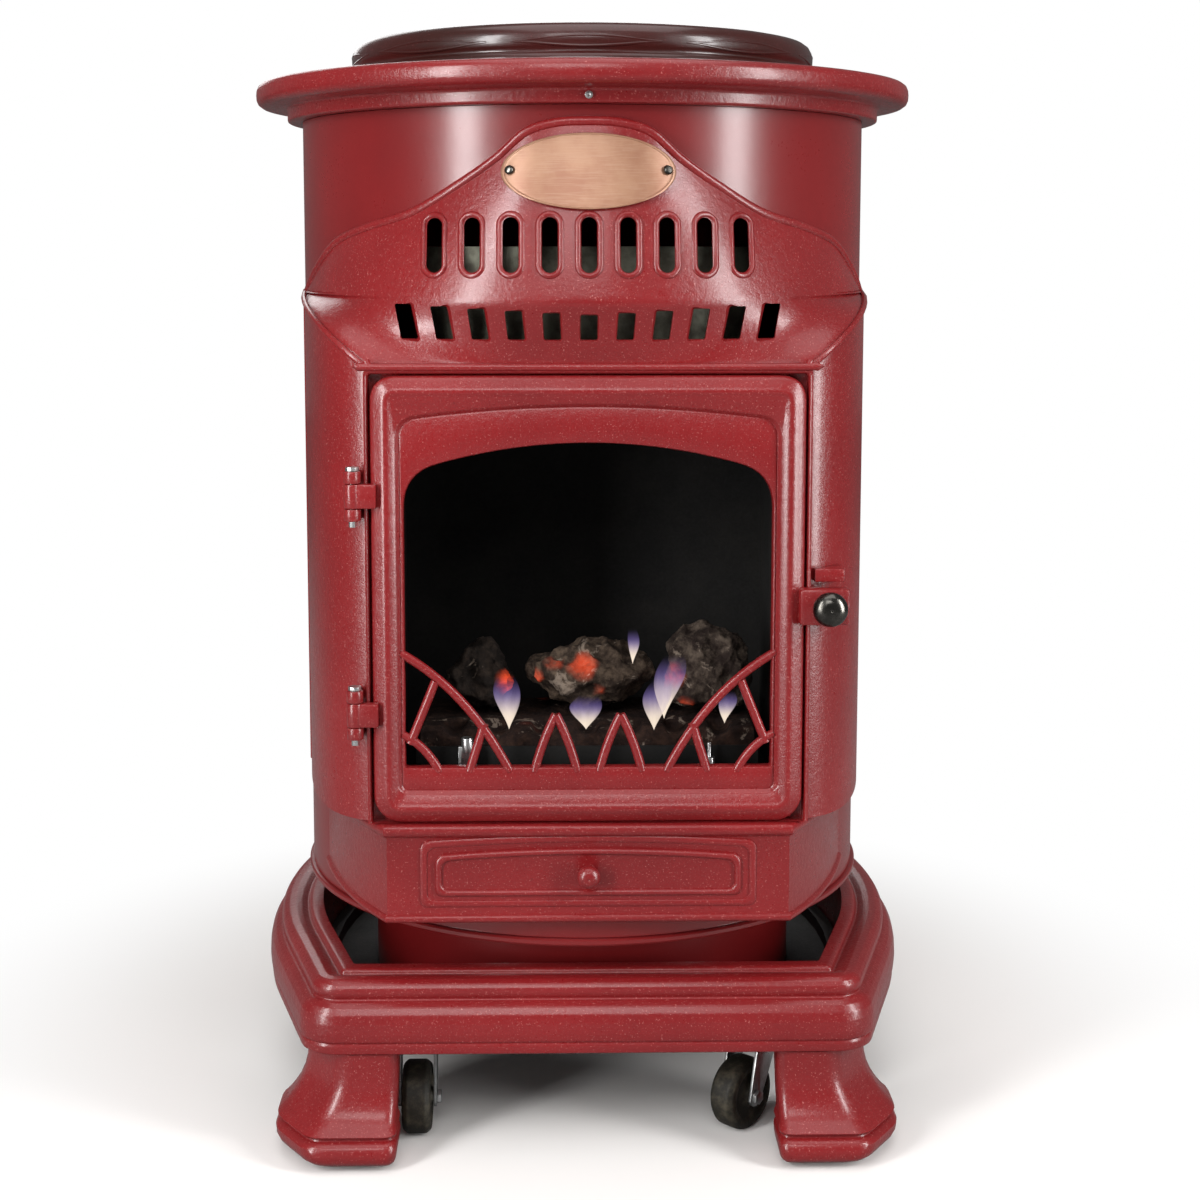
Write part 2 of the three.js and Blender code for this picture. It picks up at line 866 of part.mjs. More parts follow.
function lidBracket() {
  const ear = (x0, x1) => {
    const eye = barAlongX(x0, x1, lidPinY, lidPinZ, lidKnuckleRadius, 12);
    const stem = block(x0, x1, lidPinY - 6, lidPinY + 6, lidBottom + 2, lidPinZ);
    return join(eye, stem);
  };
  const near = lidKnuckleHalf + gap;
  const far = near + lidEar;
  const plate = block(-far, far, lidPinY - 8, lidPinY + 20, lidBottom, lidBottom + 2.2);
  const clear = barAlongX(-near, near, lidPinY, lidPinZ, lidKnuckleRadius + 0.5, 14);
  return cut(join(plate, ear(near, far), ear(-far, -near)), lidBore(), clear);
}

function lidPin() {
  const far = lidKnuckleHalf + lidEar + 2 * gap;
  const head = barAlongX(far, far + 2, lidPinY, lidPinZ, lidPinRadius + 1.5, 12);
  return join(barAlongX(-far - 2, far + 1, lidPinY, lidPinZ, lidPinRadius, 12), head);
}

function collarScrew() {
  const y = -collarRadius - gap;
  const z = (collarBottom + rimBottom) / 2;
  return cut(barAlongY(0, y - 1.6, y, z, 2.6, 12), barAlongY(0, y - 2, y - 0.8, z, 1.1, 6));
}

// ---------------------------------------------------------------- controls

function controlPanel() {
  const disc = post(0, 0, panelTop - 2, panelTop, wellRadius, roundSides / 2);
  const spindleHole = post(knobX, knobY, panelTop - 5, panelTop + 5, spindleRadius + 2, 10);
  const igniterHole = post(buttonX, buttonY, panelTop - 5, panelTop + 5, igniterRadius + gap, 12);
  return cut(disc, spindleHole, igniterHole);
}

const spindleBottom = panelTop - 12;
const knobBottom = panelTop + knobTravel + 0.7;
const knobTop = knobBottom + knobHeight;
const knobBoreTop = knobTop - 4;
const spindleTop = knobBoreTop - knobTravel - 0.5;

function gasValve() {
  const top = panelTop - 2 - gap;
  const half = valveWidth / 2;
  const body = block(
    knobX - half,
    knobX + half,
    knobY - valveDepth / 2,
    knobY + valveDepth / 2,
    top - valveHeight,
    top,
  );
  const well = post(knobX, knobY, spindleBottom - gap, top + 1, spindleRadius + boreGap, 16);
  return cut(body, well);
}

function controlKnob() {
  const body = turned(
    [
      [0, knobBottom],
      [knobRadius, knobBottom],
      [knobRadius, knobBottom + 3],
      [knobRadius - 4, knobBottom + 6],
      [knobRadius - 5, knobTop - 2],
      [knobRadius - 7, knobTop],
      [0, knobTop],
    ],
    16,
  ).translate([knobX, knobY, 0]);
  const pointer = block(
    knobX - 1.2,
    knobX + 1.2,
    knobY - knobRadius + 2,
    knobY - 4,
    knobTop - 2,
    knobTop + 1,
  );
  const bore = post(knobX, knobY, knobBottom - 1, knobBoreTop, spindleRadius + boreGap, 16);
  return cut(join(body, pointer), bore);
}

const igniterFlange = panelTop + gap + 2;

function igniterBody() {
  const body = join(
    post(buttonX, buttonY, panelTop - 34, panelTop + 1, igniterRadius, 12),
    post(buttonX, buttonY, panelTop + gap, igniterFlange, igniterRadius + 3, 12),
  );
  const bore = post(
    buttonX,
    buttonY,
    igniterFlange - 18,
    igniterFlange + 1,
    buttonRadius + boreGap,
    16,
  );
  return cut(body, bore);
}

function igniterButton() {
  const capBottom = igniterFlange + buttonTravel + gap;
  return join(
    post(buttonX, buttonY, igniterFlange - 18 + buttonTravel + 1, capBottom + 1, buttonRadius, 16),
    post(buttonX, buttonY, capBottom, capBottom + 4, buttonRadius + 2, 16),
  );
}

function buildTop() {
  place("top_plate", topPlate(), paint);
  place("collar_screw", collarScrew(), zinc);
  place("top_lid", topLid(), darkPaint);
  place("lid_hinge_bracket", lidBracket(), darkPaint);
  place("lid_hinge_pin", lidPin(), zinc);
  place("control_panel", controlPanel(), blackSteel);
  place("gas_valve", gasValve(), brass);
  place("valve_spindle", post(knobX, knobY, spindleBottom, spindleTop, spindleRadius, 16), zinc);
  place("control_knob", controlKnob(), plastic);
  place("igniter_body", igniterBody(), plastic);
  place("igniter_button", igniterButton(), zinc);
}

// ---------------------------------------------------------------- lower front panel

// Its plan: flat in front, then a bowed chamfer on each side that runs back to the drum.
function ashPlan(proud, inset) {
  const depth = drumRadius + ashProud + proud - inset;
  const flat = ashFlatHalf + proud / 2 - inset / 2;
  const end = THREE.MathUtils.degToRad(ashEndAngle);
  const endX = (drumRadius + proud - inset) * Math.sin(end);
  const endY = (drumRadius + proud - inset) * Math.cos(end);
  const bowX = flat + (endX - flat) * 0.68;
  const bowY = endY + (depth - endY) * 0.6;
  const chamfer = new THREE.QuadraticBezierCurve(
    new THREE.Vector2(flat, -depth),
    new THREE.Vector2(bowX, -bowY),
    new THREE.Vector2(endX, -endY),
  );
  const right = chamfer.getPoints(7);
  const left = right.map((point) => new THREE.Vector2(-point.x, point.y)).reverse();
  return new THREE.Shape([...left, ...right]);
}

function lowerFrontPanel() {
  const body = join(
    slabUp(ashPlan(0, 0), ashBottom, ashTop),
    slabUp(ashPlan(2, 0), ashBottom, ashBottom + 5),
    slabUp(ashPlan(2.5, 0), ashTop - 6, ashTop),
  );
  const front = drumRadius + ashProud;
  const mid = ashBottom + 34;
  const ring = (half, low, side, top, width, depth) => {
    const outer = archedOutline(half, low, side, top, 8);
    const inner = archedOutline(half - width, low + width, side - width, top - width, 6);
    return cut(
      slabAcross(outer, -front - 1, -front + depth, 3),
      slabAcross(inner, -front - 2, -front + depth + 1, 3),
    );
  };
  const outerGroove = ring(111, mid - 23, mid + 20, mid + 25, 2, 1.5);
  const innerGroove = ring(100, mid - 15, mid + 11, mid + 17, 2.2, 1.5);
  const hollow = slabUp(ashPlan(0, casting), ashBottom - 1, ashTop - casting);
  const drumRoom = post(0, 0, ashBottom - 1, ashTop + 1, drumRadius + gap, drumSides);
  const behind = block(-300, 300, -40, 300, ashBottom - 1, ashTop + 1);
  return join(cut(body, outerGroove, innerGroove, hollow, drumRoom, behind), ashKnob());
}

function ashKnob() {
  const front = drumRadius + ashProud;
  const ball = turned(
    [
      [0, -1],
      [4, -1],
      [4, 3],
      [7, 5],
      [7.6, 7.5],
      [6.5, 11],
      [0, 13.6],
    ],
    12,
  );
  return ball.rotate([90, 0, 0]).translate([0, -front, ashBottom + 33]);
}

// ---------------------------------------------------------------- front surround

// Depth of the drum's face, of the columns, and of the ridge of the hood, at a place across.
const drumDepth = (x) => Math.sqrt(Math.max(drumRadius ** 2 - x ** 2, 0));

function columnDepth(x, inset = 0) {
  const half = sideX - inset;
  const share = Math.min(Math.abs(x) / half, 1);
  const proud = (1 - share ** 9) ** (1 / 1.4);
  return sideY + (frontDepth - inset - sideY) * proud;
}

const ridgeDepth = (x) => drumDepth(x * 1.005) + ridgeShift * (1 - 0.25 * (x / sideX) ** 4);

// The crest's outline: height of its upper edge at a place across, drawn for a half width of
// crestSpan and stretched to the real one.
const crestSpan = 202.5;
const crestCurve = new THREE.SplineCurve(
  [
    [0, 0],
    [20, -1],
    [40, -7],
    [60, -24],
    [84, -40],
    [115, -57.5],
    [147, -67],
    [171, -76.5],
    [188, -94],
    [198.5, -110],
    [crestSpan, -116],
  ].map(([x, drop]) => new THREE.Vector2((x * sideX) / crestSpan, crestTop + drop)),
);
const crestPoints = crestCurve.getPoints(60);

function crestHeight(x) {
  const place = Math.abs(x);
  const next = crestPoints.findIndex((point) => point.x > place);
  if (next < 1) return next < 0 ? crestPoints.at(-1).y : crestPoints[0].y;
  const [a, b] = [crestPoints[next - 1], crestPoints[next]];
  return a.y + ((b.y - a.y) * (place - a.x)) / (b.x - a.x);
}

// Depth of the surround's face at a place across and a height; inset moves it inwards.
function frontFace(x, z, inset) {
  const column = columnDepth(x, inset);
  if (z <= hoodBottom) return column;
  const side = Math.min(Math.abs(x) / sideX, 1);
  const ridge = ridgeZ + hoodEndRise * side ** 2;
  if (z <= ridge) {
    const rise = (z - hoodBottom) / (ridge - hoodBottom);
    const half = hoodHalf + (sideX - hoodHalf) * rise;
    const across = Math.abs(x) / half;
    if (across >= 1) return column;
    const bead = frontDepth - 2 - inset;
    const ridgeHere = ridgeDepth(across * sideX) - inset;
    const straight = bead + (ridgeHere - bead) * rise;
    const end = bead + (ridgeDepth(sideX) - inset - bead) * rise;
    return straight + across ** 6 * (columnDepth(half, inset) - end);
  }
  const crest = Math.max(crestHeight(x), ridge + 1);
  const rise = Math.min((z - ridge) / (crest - ridge), 1);
  const lean = (1 - rise) * (1 + 0.25 * rise);
  const low = drumDepth(x) + crestProud;
  return low + (ridgeDepth(x) - low) * lean - inset;
}

// A solid behind the face, from the rows of heights and columns across.
function behindFace(half, heights, inset) {
  const across = [];
  const columns = inset ? 7 : 12;
  for (let step = -columns; step <= columns; step++) {
    const share = step / columns;
    across.push(half * Math.sign(share) * Math.abs(share) ** 0.62);
  }
  const back = -sideY + 28;
  const rings = heights.map((z) => [
    ...across.map((x) => [x, -frontFace(x, z, inset), z]),
    [half, back, z],
    [-half, back, z],
  ]);
  return skin(rings, false);
}

function crestOutline() {
  const outline = new THREE.Shape();
  outline.moveTo(-sideX - 2, surroundBottom - 5);
  outline.lineTo(sideX + 2, surroundBottom - 5);
  outline.lineTo(sideX + 2, crestPoints.at(-1).y);
  const edge = crestCurve.getPoints(18);
  for (const point of [...edge].reverse()) outline.lineTo(point.x, point.y);
  for (const point of edge.slice(1)) outline.lineTo(-point.x, point.y);
  outline.lineTo(-sideX - 2, crestPoints.at(-1).y);
  outline.closePath();
  return outline;
}

function crestBead() {
  const side = crestCurve.getPoints(10).filter((point) => point.x < sideX - 3);
  const route = [
    ...side.slice(1).map((point) => [-point.x, point.y]).reverse(),
    ...side.map((point) => [point.x, point.y]),
  ].map(([x, z]) => [x, -drumDepth(x) - crestProud, z - beadRadius + 0.6]);
  return tube(route, beadRadius, 26, 6);
}

function sideRib(sign) {
  const x = sign * (sideX - 1);
  return post(x, -sideY - 3, surroundBottom, ridgeZ + hoodEndRise, beadRadius, 6);
}

function stadium(x, z0, z1, width) {
  const radius = width / 2;
  const outline = new THREE.Shape();
  outline.absarc(x, z1 - radius, radius, 0, Math.PI);
  outline.absarc(x, z0 + radius, radius, Math.PI, 2 * Math.PI);
  outline.closePath();
  return outline;
}

function slotCuts() {
  const cuts = [];
  for (let slot = 0; slot < upperSlots; slot++) {
    const x = (slot - (upperSlots - 1) / 2) * upperSlotPitch;
    const outline = stadium(
      x,
      upperSlotZ - upperSlotHeight / 2,
      upperSlotZ + upperSlotHeight / 2,
      upperSlotWidth,
    );
    cuts.push(slabAcross(outline, -260, -columnDepth(0) + 60, 3));
  }
  for (let slot = 0; slot < lowerSlots; slot++) {
    const place = slot - (lowerSlots - 1) / 2;
    const share = Math.abs(place) / ((lowerSlots - 1) / 2);
    const x = place * lowerSlotPitch * 1.14;
    const lean = (x / hoodHalf) * 6;
    const top = lowerSlotTop + 5 * share;
    const half = lowerSlotWidth / 2;
    const outline = new THREE.Shape();
    outline.moveTo(x - half, lowerSlotBottom);
    outline.lineTo(x + half, lowerSlotBottom);
    outline.lineTo(x + half + lean, top);
    outline.lineTo(x - half + lean, top);
    outline.closePath();
    cuts.push(slabAcross(outline, -260, -120));
  }
  return cuts;
}

function columnLugs() {
  const lugs = [];
  for (const z of hingeZ) {
    const reach = doorLugHeight / 2 + gap;
    for (const [z0, z1] of [
      [z - reach - columnLugHeight, z - reach],
      [z + reach, z + reach + columnLugHeight],
    ]) {
      lugs.push(post(hingeX, -hingeY, z0, z1, hingeRadius, 10));
      lugs.push(block(hingeX - 4.5, hingeX + 3.5, -hingeY, -frontDepth + 14, z0, z1));
    }
  }
  return lugs;
}

const hingeBores = () =>
  hingeZ.map((z) => post(hingeX, -hingeY, z - 30, z + 30, hingePin + boreGap, 10));

function frontSurround() {
  const steps = (from, to, count) =>
    Array.from({ length: count }, (_, step) => from + ((to - from) * step) / count);
  const hood = [...steps(hoodBottom, ridgeZ, 2), ridgeZ, ridgeZ + hoodEndRise];
  const crest = [...steps(ridgeZ + 12, crestTop, 4), crestTop, crestTop + 3];
  const outer = behindFace(sideX, [surroundBottom, ...hood, ...crest], 0);
  const inner = behindFace(
    sideX - casting,
    [surroundBottom + casting, ...hood, ...crest],
    casting,
  );
  const outline = slabAcross(crestOutline(), -300, 0, 4);
  const shell = cut(outer.intersect(outline), inner);

  const recessHalf = doorHalf + doorClearance;
  const recessTop = doorTop + doorClearance;
  const seat = block(
    -recessHalf - casting,
    recessHalf + casting,
    -seatDepth - 2,
    -seatDepth + casting,
    surroundBottom,
    hoodBottom,
  );
  const lintel = block(
    -recessHalf - casting,
    recessHalf + casting,
    -frontDepth + 4,
    -seatDepth + casting,
    recessTop,
    hoodBottom,
  );
  const recess = block(
    -recessHalf,
    recessHalf,
    -frontDepth - 20,
    -seatDepth,
    surroundBottom - 1,
    recessTop,
  );
  const aperture = slabAcross(
    archedOutline(
      windowHalf + apertureMargin,
      windowBottom - 5,
      windowSide + apertureMargin,
      windowTop + apertureMargin,
      windowCorner,
    ),
    -frontDepth,
    0,
    4,
  );
  const inside = block(
    -frontAperture,
    frontAperture,
    -seatDepth + casting,
    0,
    surroundBottom - 1,
    surroundBottom + 2 * casting,
  );
  const drum = cut(
    post(0, 0, surroundBottom - 5, crestTop + 5, drumRadius + gap, drumSides),
    block(
      -frontAperture + gap,
      frontAperture - gap,
      -drumRadius - 5,
      0,
      surroundBottom - 10,
      frontApertureTop - gap,
    ),
  );
  const bead = barAlongX(-hoodHalf, hoodHalf, -frontDepth + 1, hoodBottom + 1, 2.6, 6);
  const keeper = join(
    block(latchX - 8, latchX + 12, -frontDepth + 2, -frontDepth + 22, latchZ + 15, latchZ + 24),
  );
  const body = join(
    shell,
    seat,
    lintel,
    bead,
    crestBead(),
    sideRib(1),
    sideRib(-1),
    keeper,
    ...columnLugs(),
  );
  return cut(body, recess, aperture, inside, drum, ...slotCuts(), ...hingeBores());
}

function badgeOutline() {
  const outline = new THREE.Shape();
  outline.absellipse(0, badgeZ, badgeWidth / 2, badgeHeight / 2, 0, 2 * Math.PI);
  return outline;
}

// The badge follows the surround's face, which is round and leans back.
function badgePlate() {
  const half = badgeWidth / 2 + 1;
  const reach = badgeHeight / 2 + 1;
  const columns = 6;
  const across = [];
  for (let step = -columns; step <= columns; step++) across.push((half * step) / columns);
  const band = (z) => [
    ...across.map((x) => [x, -frontFace(x, z, 0) - badgeSeat - badgeThickness, z]),
    ...across.map((x) => [x, -frontFace(x, z, 0) - badgeSeat, z]).reverse(),
  ];
  const bands = [-1, -0.33, 0.33, 1].map((share) => band(badgeZ + share * reach));
  const oval = slabAcross(badgeOutline(), -300, -100, 12);
  const holes = [-1, 1].map((sign) =>
    onFace(post(0, 0, -5, 10, rivetShank + 2 * gap, 8), sign * rivetX, badgeZ),
  );
  return cut(skin(bands, false).intersect(oval), ...holes);
}

// A piece made along Z from the origin, turned to stand out of the surround's face.
function onFace(body, x, z) {
  const slopeX = (frontFace(x + 1, z, 0) - frontFace(x - 1, z, 0)) / 2;
  const slopeZ = (frontFace(x, z + 1, 0) - frontFace(x, z - 1, 0)) / 2;
  const normal = new THREE.Vector3(-slopeX, -1, -slopeZ).normalize();
  const turn = new THREE.Quaternion().setFromUnitVectors(new THREE.Vector3(0, 0, 1), normal);
  const at = new THREE.Vector3(x, -frontFace(x, z, 0), z);
  const whole = new THREE.Vector3(1, 1, 1);
  return body.transform(new THREE.Matrix4().compose(at, turn, whole).elements);
}

function badgeRivet(sign) {
  const seat = badgeSeat + badgeThickness + gap;
  const rivet = join(
    post(0, 0, seat, seat + 1.6, rivetHead, 10, rivetHead - 1),
    post(0, 0, badgeSeat, seat + 0.5, rivetShank, 8),
  );
  return onFace(rivet, sign * rivetX, badgeZ);
}

// ---------------------------------------------------------------- door

// A bar of the fretwork: a flat stripe of even width along a curve in X and Z.
function fretBar(points, width = barWidth) {
  const curve =
    points.length === 2
      ? new THREE.LineCurve(...points.map((point) => new THREE.Vector2(...point)))
      : new THREE.QuadraticBezierCurve(...points.map((point) => new THREE.Vector2(...point)));
  const steps = points.length === 2 ? 1 : 4;
  const left = [];
  const right = [];
  for (let step = 0; step <= steps; step++) {
    const here = curve.getPoint(step / steps);
    const along = curve.getTangent(step / steps);
    const side = new THREE.Vector2(-along.y, along.x).multiplyScalar(width / 2);
    left.push(here.clone().add(side));
    right.push(here.clone().sub(side));
  }
  const face = doorFront - doorPanelSink - 1;
  return slabAcross(new THREE.Shape([...right, ...left.reverse()]), -face, -face + barDepth);
}

function fretwork() {
  const foot = windowBottom - 2;
  const bars = [];
  for (const side of [-1, 1]) {
    bars.push(fretBar([[side * 123, foot + 78], [side * 80, foot + 54], [side * 52, foot]]));
    bars.push(fretBar([[side * 101, foot + 60], [side * 117.5, foot + 19]]));
    bars.push(fretBar([[side * 123, foot + 24], [side * 108, foot + 17], [side * 99, foot]]));
    bars.push(fretBar([[side * 69, foot + 30], [side * 79, foot]]));
    const apex = side * 21.5;
    bars.push(fretBar([[apex, foot + 36], [apex - 9, foot + 20], [apex - 14, foot]]));
    bars.push(fretBar([[apex, foot + 36], [apex + 9, foot + 20], [apex + 14, foot]]));
  }
  return bars;
}

const panelOutline = (inset, windowed) =>
  windowed
    ? archedOutline(windowHalf, windowBottom, windowSide, windowTop, windowCorner)
    : archedOutline(
        doorPanelHalf + inset,
        doorPanelBottom - inset,
        doorPanelSide + inset,
        doorPanelTop + inset,
        9,
      );

function frontDoor() {
  const leaf = join(
    slabAcross(roundedBox(doorHalf, doorBottom, doorTop, doorCorner), -doorFront + 3, -doorBack, 5),
    slabAcross(
      roundedBox(doorHalf - 2.5, doorBottom + 2.5, doorTop - 2.5, doorCorner - 2),
      -doorFront + 0.8,
      -doorBack,
      5,
    ),
    slabAcross(
      roundedBox(doorHalf - 6, doorBottom + 6, doorTop - 6, doorCorner - 5),
      -doorFront,
      -doorBack,
      5,
    ),
  );
  const panel = slabAcross(panelOutline(0, false), -doorFront - 1, -doorFront + doorPanelSink, 4);
  const window = slabAcross(panelOutline(0, true), -doorFront - 1, 0, 6);
  const lugs = hingeZ.flatMap((z) => {
    const [z0, z1] = [z - doorLugHeight / 2, z + doorLugHeight / 2];
    return [
      post(hingeX, -hingeY, z0, z1, hingeRadius, 10),
      block(hingeX, -doorHalf + 4, -hingeY - 4.5, -hingeY + 3, z0, z1),
    ];
  });
  const blockHalf = latchBlock / 2;
  const latch = block(
    doorHalf - 4,
    latchX + blockHalf,
    -latchFront,
    -latchBack,
    latchZ - latchHeight / 2,
    latchZ + latchHeight / 2,
  );
  const latchBore = barAlongY(latchX, -latchFront - 5, -150, latchZ, latchSpindle + boreGap);
  const solidLeaf = cut(leaf, panel, window);
  return cut(join(solidLeaf, latch, ...fretwork(), ...lugs), latchBore, ...hingeBores());
}

function hingePinAt(z) {
  const reach = doorLugHeight / 2 + gap + columnLugHeight;
  return join(
    post(hingeX, -hingeY, z - reach - 4, z + reach + 1, hingePin, 10),
    post(hingeX, -hingeY, z + reach + gap, z + reach + gap + 2.5, hingePin + 1.8, 10),
  );
}

function latchSpindlePiece() {
  return join(
    barAlongY(latchX, -latchFront - 3, -latchBack + 1.2, latchZ, latchSpindle),
    barAlongY(latchX, -latchBack + gap, -latchBack + 2.3, latchZ, 8, 16),
    block(latchX - 4, latchX + 4, -latchBack + gap, -latchBack + 2.3, latchZ - 12, latchZ),
  );
}

function latchKnob() {
  const reach = latchKnobRadius;
  const body = turned(
    [
      [0, 0],
      [reach * 0.62, 0],
      [reach * 0.62, 1.5],
      [reach * 0.9, 3],
      [reach, 5.5],
      [reach * 0.93, 9],
      [reach * 0.66, 12.4],
      [reach * 0.3, latchKnobLength - 0.3],
      [0, latchKnobLength],
    ],
    20,
  );
  const bore = post(0, 0, -1, 3.6, latchSpindle + boreGap, 16);
  return cut(body, bore).rotate([90, 0, 0]).translate([latchX, -latchFront - gap, latchZ]);
}

// ---------------------------------------------------------------- fire

function firebox() {
  const top = fireboxBottom + fireboxHeight;
  const back = -fireboxBack;
  const front = -fireboxFront;
  const box = block(-fireboxHalf, fireboxHalf, front, back, fireboxBottom, top);
  const hollow = block(
    -fireboxHalf + sheet,
    fireboxHalf - sheet,
    front - 1,
    back - sheet,
    fireboxBottom + sheet,
    top - sheet,
  );
  const flange = block(
    -fireboxHalf - 6,
    fireboxHalf + 6,
    front,
    front + sheet,
    fireboxBottom - 6,
    top + 6,
  );
  const stubHole = post(0, stubCentre, fireboxBottom - 5, fireboxBottom + 5, stubRadius + 2, 16);
  const flue = block(-90, 90, front + 40, back - 30, top - 5, top + 5);
  return cut(join(box, flange), hollow, stubHole, flue);
}

// A bowed plate that stands on the firebox, behind the slots, and turns the warm air forwards.
function heatBaffle() {
  const bottom = fireboxBottom + fireboxHeight + gap;
  const radius = baffleRadius;
  return sector(radius - sheet, radius, bottom, bottom + baffleHeight, 270, baffleAngle, 16);
}

const baffleRadius = 190;
const baffleHeight = 100;
const baffleAngle = 38;

function burnerTube() {
  return join(
    barAlongX(-trayHalf + 14, trayHalf - 14, stubCentre, burnerZ, burnerRadius),
    post(0, stubCentre, stubBottom, burnerZ, stubRadius),
  );
}

function burnerTray() {
  const body = block(
    -trayHalf,
    trayHalf,
    -trayFront,
    -trayBack,
    trayBottom,
    trayBottom + trayHeight,
  );
  const hollow = block(
    -trayHalf + sheet,
    trayHalf - sheet,
    -trayFront + sheet,
    -trayBack - sheet,
    trayBottom + sheet,
    trayBottom + trayHeight + 1,
  );
  return cut(body, hollow);
}

// A lump of ceramic coal: a ball whose surface is pushed in and out by slow waves, cut flat below.
function coal(width, depth, height, seed) {
  const ball = new THREE.IcosahedronGeometry(1, 2);
  const position = ball.attributes.position;
  const point = new THREE.Vector3();
  for (let index = 0; index < position.count; index++) {
    point.fromBufferAttribute(position, index);
    const wave =
      0.12 * Math.sin(3.1 * point.x + seed) * Math.cos(2.7 * point.y - seed) +
      0.1 * Math.sin(4.3 * point.z + 2 * seed) +
      0.05 * Math.sin(7.9 * point.x + 5.3 * point.y + 3 * seed);
    point.multiplyScalar(1 + wave);
    position.setXYZ(index, (point.x * width) / 2, (point.y * depth) / 2, (point.z * height) / 2);
  }
  const lump = solid(ball);
  const floor = block(-width, width, -depth, depth, -height, -height * 0.36);
  return cut(lump, floor).translate([0, 0, height * 0.36]);
}

function ceramicBed() {
  const inside = sheet + gap;
  const body = block(
    -trayHalf + inside,
    trayHalf - inside,
    -trayFront + inside,
    -trayBack - inside,
    bedBottom,
    bedTop,
  );
  const flutes = [];
  const fluteCount = 7;
  for (let flute = 0; flute < fluteCount; flute++) {
    const x = (flute - (fluteCount - 1) / 2) * 30;
    flutes.push(barAlongY(x, -trayFront, -trayFront + 24, bedTop + 2, 8, 10));
  }
  return cut(body, ...flutes);
}

const pilotX = -81;
const electrodeX = 82;
const pilotY = -trayFront - 6;

function pilotBracket() {
  const foot = fireboxBottom + sheet + gap;
  return join(
    block(pilotX - 6, pilotX + 6, pilotY - 2, pilotY + 2, foot, foot + 34),
    block(pilotX - 6, pilotX + 6, pilotY - 6, pilotY + 2, foot, foot + 2),
    post(pilotX, pilotY, foot + 30, foot + 40, 4, 12),
  );
}

function sparkElectrode() {
  const foot = fireboxBottom + sheet + gap;
  return join(
    post(electrodeX, pilotY, foot, foot + 26, 4, 12),
    post(electrodeX, pilotY, foot + 25, foot + 36, 1.4, 8),
  );
}

// ---------------------------------------------------------------- gas line

function gasPipe() {
  const top = panelTop - 2 - gap - valveHeight + 10;
  const outlet = knobX - valveWidth / 2 - gap;
  const low = stubBottom + 7;
  const end = -stubRadius - gap;
  return tube(
    [
      [outlet, knobY, top],
      [outlet - 12, knobY, top],
      [pipeX + 30, knobY, top],
      [pipeX + 10, knobY, top - 2],
      [pipeX, knobY, top - 14],
      [pipeX, knobY, top - 34],
      [pipeX, knobY, 560],
      [pipeX, knobY, 400],
      [pipeX, knobY, low + 34],
      [pipeX, knobY - 4, low + 14],
      [pipeX + 12, knobY - 14, low + 1],
      [pipeX + 34, stubCentre + 12, low],
      [-60, stubCentre, low],
      [end - 12, stubCentre, low],
      [end, stubCentre, low],
    ],
    pipeRadius,
    30,
    6,
  );
}

function gasHose() {
  const inletZ = panelTop - 2 - gap - valveHeight + 14;
  const start = knobY + valveDepth / 2 + gap;
  const top = regulatorBottom + regulatorHeight + 12 + gap;
  return tube(
    [
      [knobX, start, inletZ],
      [knobX, start + 12, inletZ],
      [knobX + 14, start + 36, inletZ],
      [knobX + 60, start + 58, inletZ + 2],
      [knobX + 120, start + 76, inletZ + 4],
      [knobX + 172, start + 92, inletZ + 2],
      [regulatorX - 14, regulatorY, inletZ - 5],
      [regulatorX - 2, regulatorY, inletZ - 16],
      [regulatorX, regulatorY, top + 8],
      [regulatorX, regulatorY, top],
    ],
    hoseRadius,
    16,
    7,
  );
}

function regulator() {
  const body = turned(
    [
      [0, 0],
      [13, 0],
      [13, 14],
      [regulatorRadius, 18],
      [regulatorRadius, 36],
      [regulatorRadius - 5, 42],
      [9, 46],
      [7, regulatorHeight],
      [7, regulatorHeight + 12],
      [0, regulatorHeight + 12],
    ],
    14,
  );
  return body.translate([regulatorX, regulatorY, regulatorBottom]);
}

// ---------------------------------------------------------------- rear hinge

function rearHingePin() {
  const [x, y] = rearHinge();
  const low = rearApertureBottom - rearOverlap + rearKnuckleInset - 2;
  const top = rearApertureTop + rearOverlap - rearKnuckleInset + gap;
  return join(
    post(x, y, low, top + 1, rearPin, 10),
    post(x, y, top, top + 3, rearPin + 1.6, 10),
  );
}

// ---------------------------------------------------------------- assembly

function buildDrum() {
  place("drum_base", drumBase(), paint);
  place("drum_shell", drumShell(), paint);
  place("rear_door", rearDoor(), paint);
  place("rear_hinge_pin", rearHingePin(), zinc);
}

function buildFront() {
  place("lower_front_panel", lowerFrontPanel(), paint);
  place("front_surround", frontSurround(), paint);
  place("badge_plate", badgePlate(), copper);
  place("badge_rivet_left", badgeRivet(-1), pewter);
  place("badge_rivet_right", badgeRivet(1), pewter);
  place("front_door", frontDoor(), paint);
  place("door_hinge_pin_lower", hingePinAt(hingeZ[0]), zinc);
  place("door_hinge_pin_upper", hingePinAt(hingeZ[1]), zinc);
  place("latch_spindle", latchSpindlePiece(), zinc);
  place("latch_knob", latchKnob(), pewter);
}

